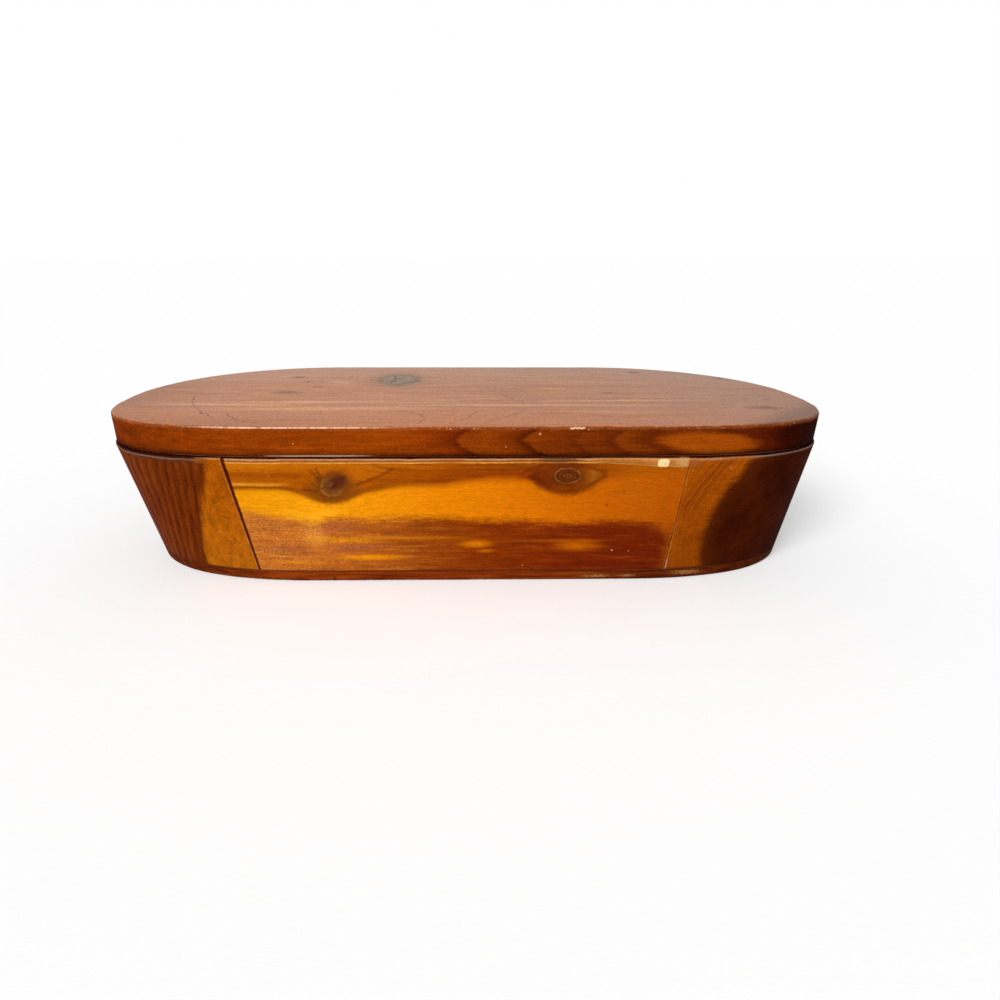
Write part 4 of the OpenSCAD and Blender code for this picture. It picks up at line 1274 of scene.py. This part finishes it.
screwSizes = {
    "Head top": 2.2, "Head foot": 1.2, "Head height": 1.0, "Shank": 1.2, "Length": 9.0, "Tip": 2.0,
    "Slot width": 0.5, "Slot depth": 0.45,
}
bradSizes = {
    "Head top": bradLook["head"] / 2, "Head foot": bradLook["head"] / 2, "Head height": bradLook["headHigh"],
    "Shank": bradLook["shank"] / 2, "Length": bradLook["length"], "Tip": bradLook["tip"],
    "Slot width": 0.0, "Slot depth": 0.0, "Turn": math.pi,
}
screwRows = [
    ("box_screws", "box", -0.1, 0.0, "box_hinge_screws"),
    ("lid_screws", "lid", 0.1, math.pi, "lid_hinge_screws"),
]
for name, body, lift, turn, node in screwRows:
    places = [(x, y, hinge.z + lift) for x, y in screwPlaces]
    setOut(name, body, "screw_brass", places, {**screwSizes, "Turn": turn}, brass, node)
setOut("base_brad_row", "box", "brad_steel", bradPlaces, bradSizes, steel, "base_brads")
print("hardware made")

# Floor, light and camera
stageLook = {
    "floor": 0.8, "floorHalf": 30.0, "lift": 0.32, "ambient": 0.42, "sun": 2.4,
    "sunFrom": (-0.45, -0.7, 0.55), "sunWide": 24.0,
}
cameraLook = {
    "target": (0.0, 0.0, 0.035), "turn": -0.0202, "rise": 0.2746, "far": 0.35456, "roll": 0.0031,
    "sensor": 36.0, "lens": 26.02, "shift": (0.034, -0.04), "clip": 0.01,
}


def seen(start):  # 1 for rays that see the background
    path = start.node("ShaderNodeLightPath", {}, {}, "Is Camera Ray")
    return larger(larger(path, path.other("Is Glossy Ray")), path.other("Is Transmission Ray"))


floorMesh = bpy.data.meshes.new("floor")
half = stageLook["floorHalf"]
floorCorners = [(-half, -half, 0), (half, -half, 0), (half, half, 0), (-half, half, 0)]
floorMesh.from_pydata(floorCorners, [], [(0, 1, 2, 3)])
floor = newObject("floor", floorMesh)
floorFinish = bpy.data.materials.new("paleFloor")
start = freshTree(floorFinish)
matt = start.node("ShaderNodeBsdfDiffuse", {}, {"Color": (stageLook["floor"],) * 3 + (1,)})
lift = start.node("ShaderNodeEmission", {}, {"Strength": seen(start) * stageLook["lift"]})
lifted = start.node("ShaderNodeAddShader", {}, {0: matt, 1: lift})
start.node("ShaderNodeOutputMaterial", {}, {"Surface": lifted})
floorMesh.materials.append(floorFinish)

world = bpy.data.worlds.new("studio")
bpy.context.scene.world = world
start = freshTree(world)
soft = start.node("ShaderNodeBackground", {}, {"Color": (1, 1, 1, 1), "Strength": stageLook["ambient"]})
white = start.node("ShaderNodeBackground", {}, {"Color": (1, 1, 1, 1), "Strength": 1.0})
either = start.node("ShaderNodeMixShader", {}, {0: seen(start), 1: soft, 2: white})
start.node("ShaderNodeOutputWorld", {}, {"Surface": either})

sunData = bpy.data.lights.new("sun", "SUN")
sunData.energy = stageLook["sun"]
sunData.angle = math.radians(stageLook["sunWide"])
sun = newObject("sun", sunData)
sun.location = stageLook["sunFrom"]
sun.rotation_mode = "QUATERNION"
sun.rotation_quaternion = (-Vector(stageLook["sunFrom"])).to_track_quat("-Z", "Y")

cameraData = bpy.data.cameras.new("camera")
cameraData.sensor_width = cameraLook["sensor"]
cameraData.lens = cameraLook["lens"]
cameraData.shift_x, cameraData.shift_y = cameraLook["shift"]
cameraData.clip_start = cameraLook["clip"]
camera = newObject("camera", cameraData)
turn, rise = cameraLook["turn"], cameraLook["rise"]
back = Vector((math.sin(turn) * math.cos(rise), -math.cos(turn) * math.cos(rise), math.sin(rise)))
roll = Matrix.Rotation(cameraLook["roll"], 3, "Z").to_quaternion()
camera.location = Vector(cameraLook["target"]) + back * cameraLook["far"]
camera.rotation_mode = "QUATERNION"
camera.rotation_quaternion = (-back).to_track_quat("-Z", "Y") @ roll
bpy.context.scene.camera = camera
bpy.context.scene.view_settings.view_transform = "Standard"
print("stage set")

bpy.context.view_layer.update()
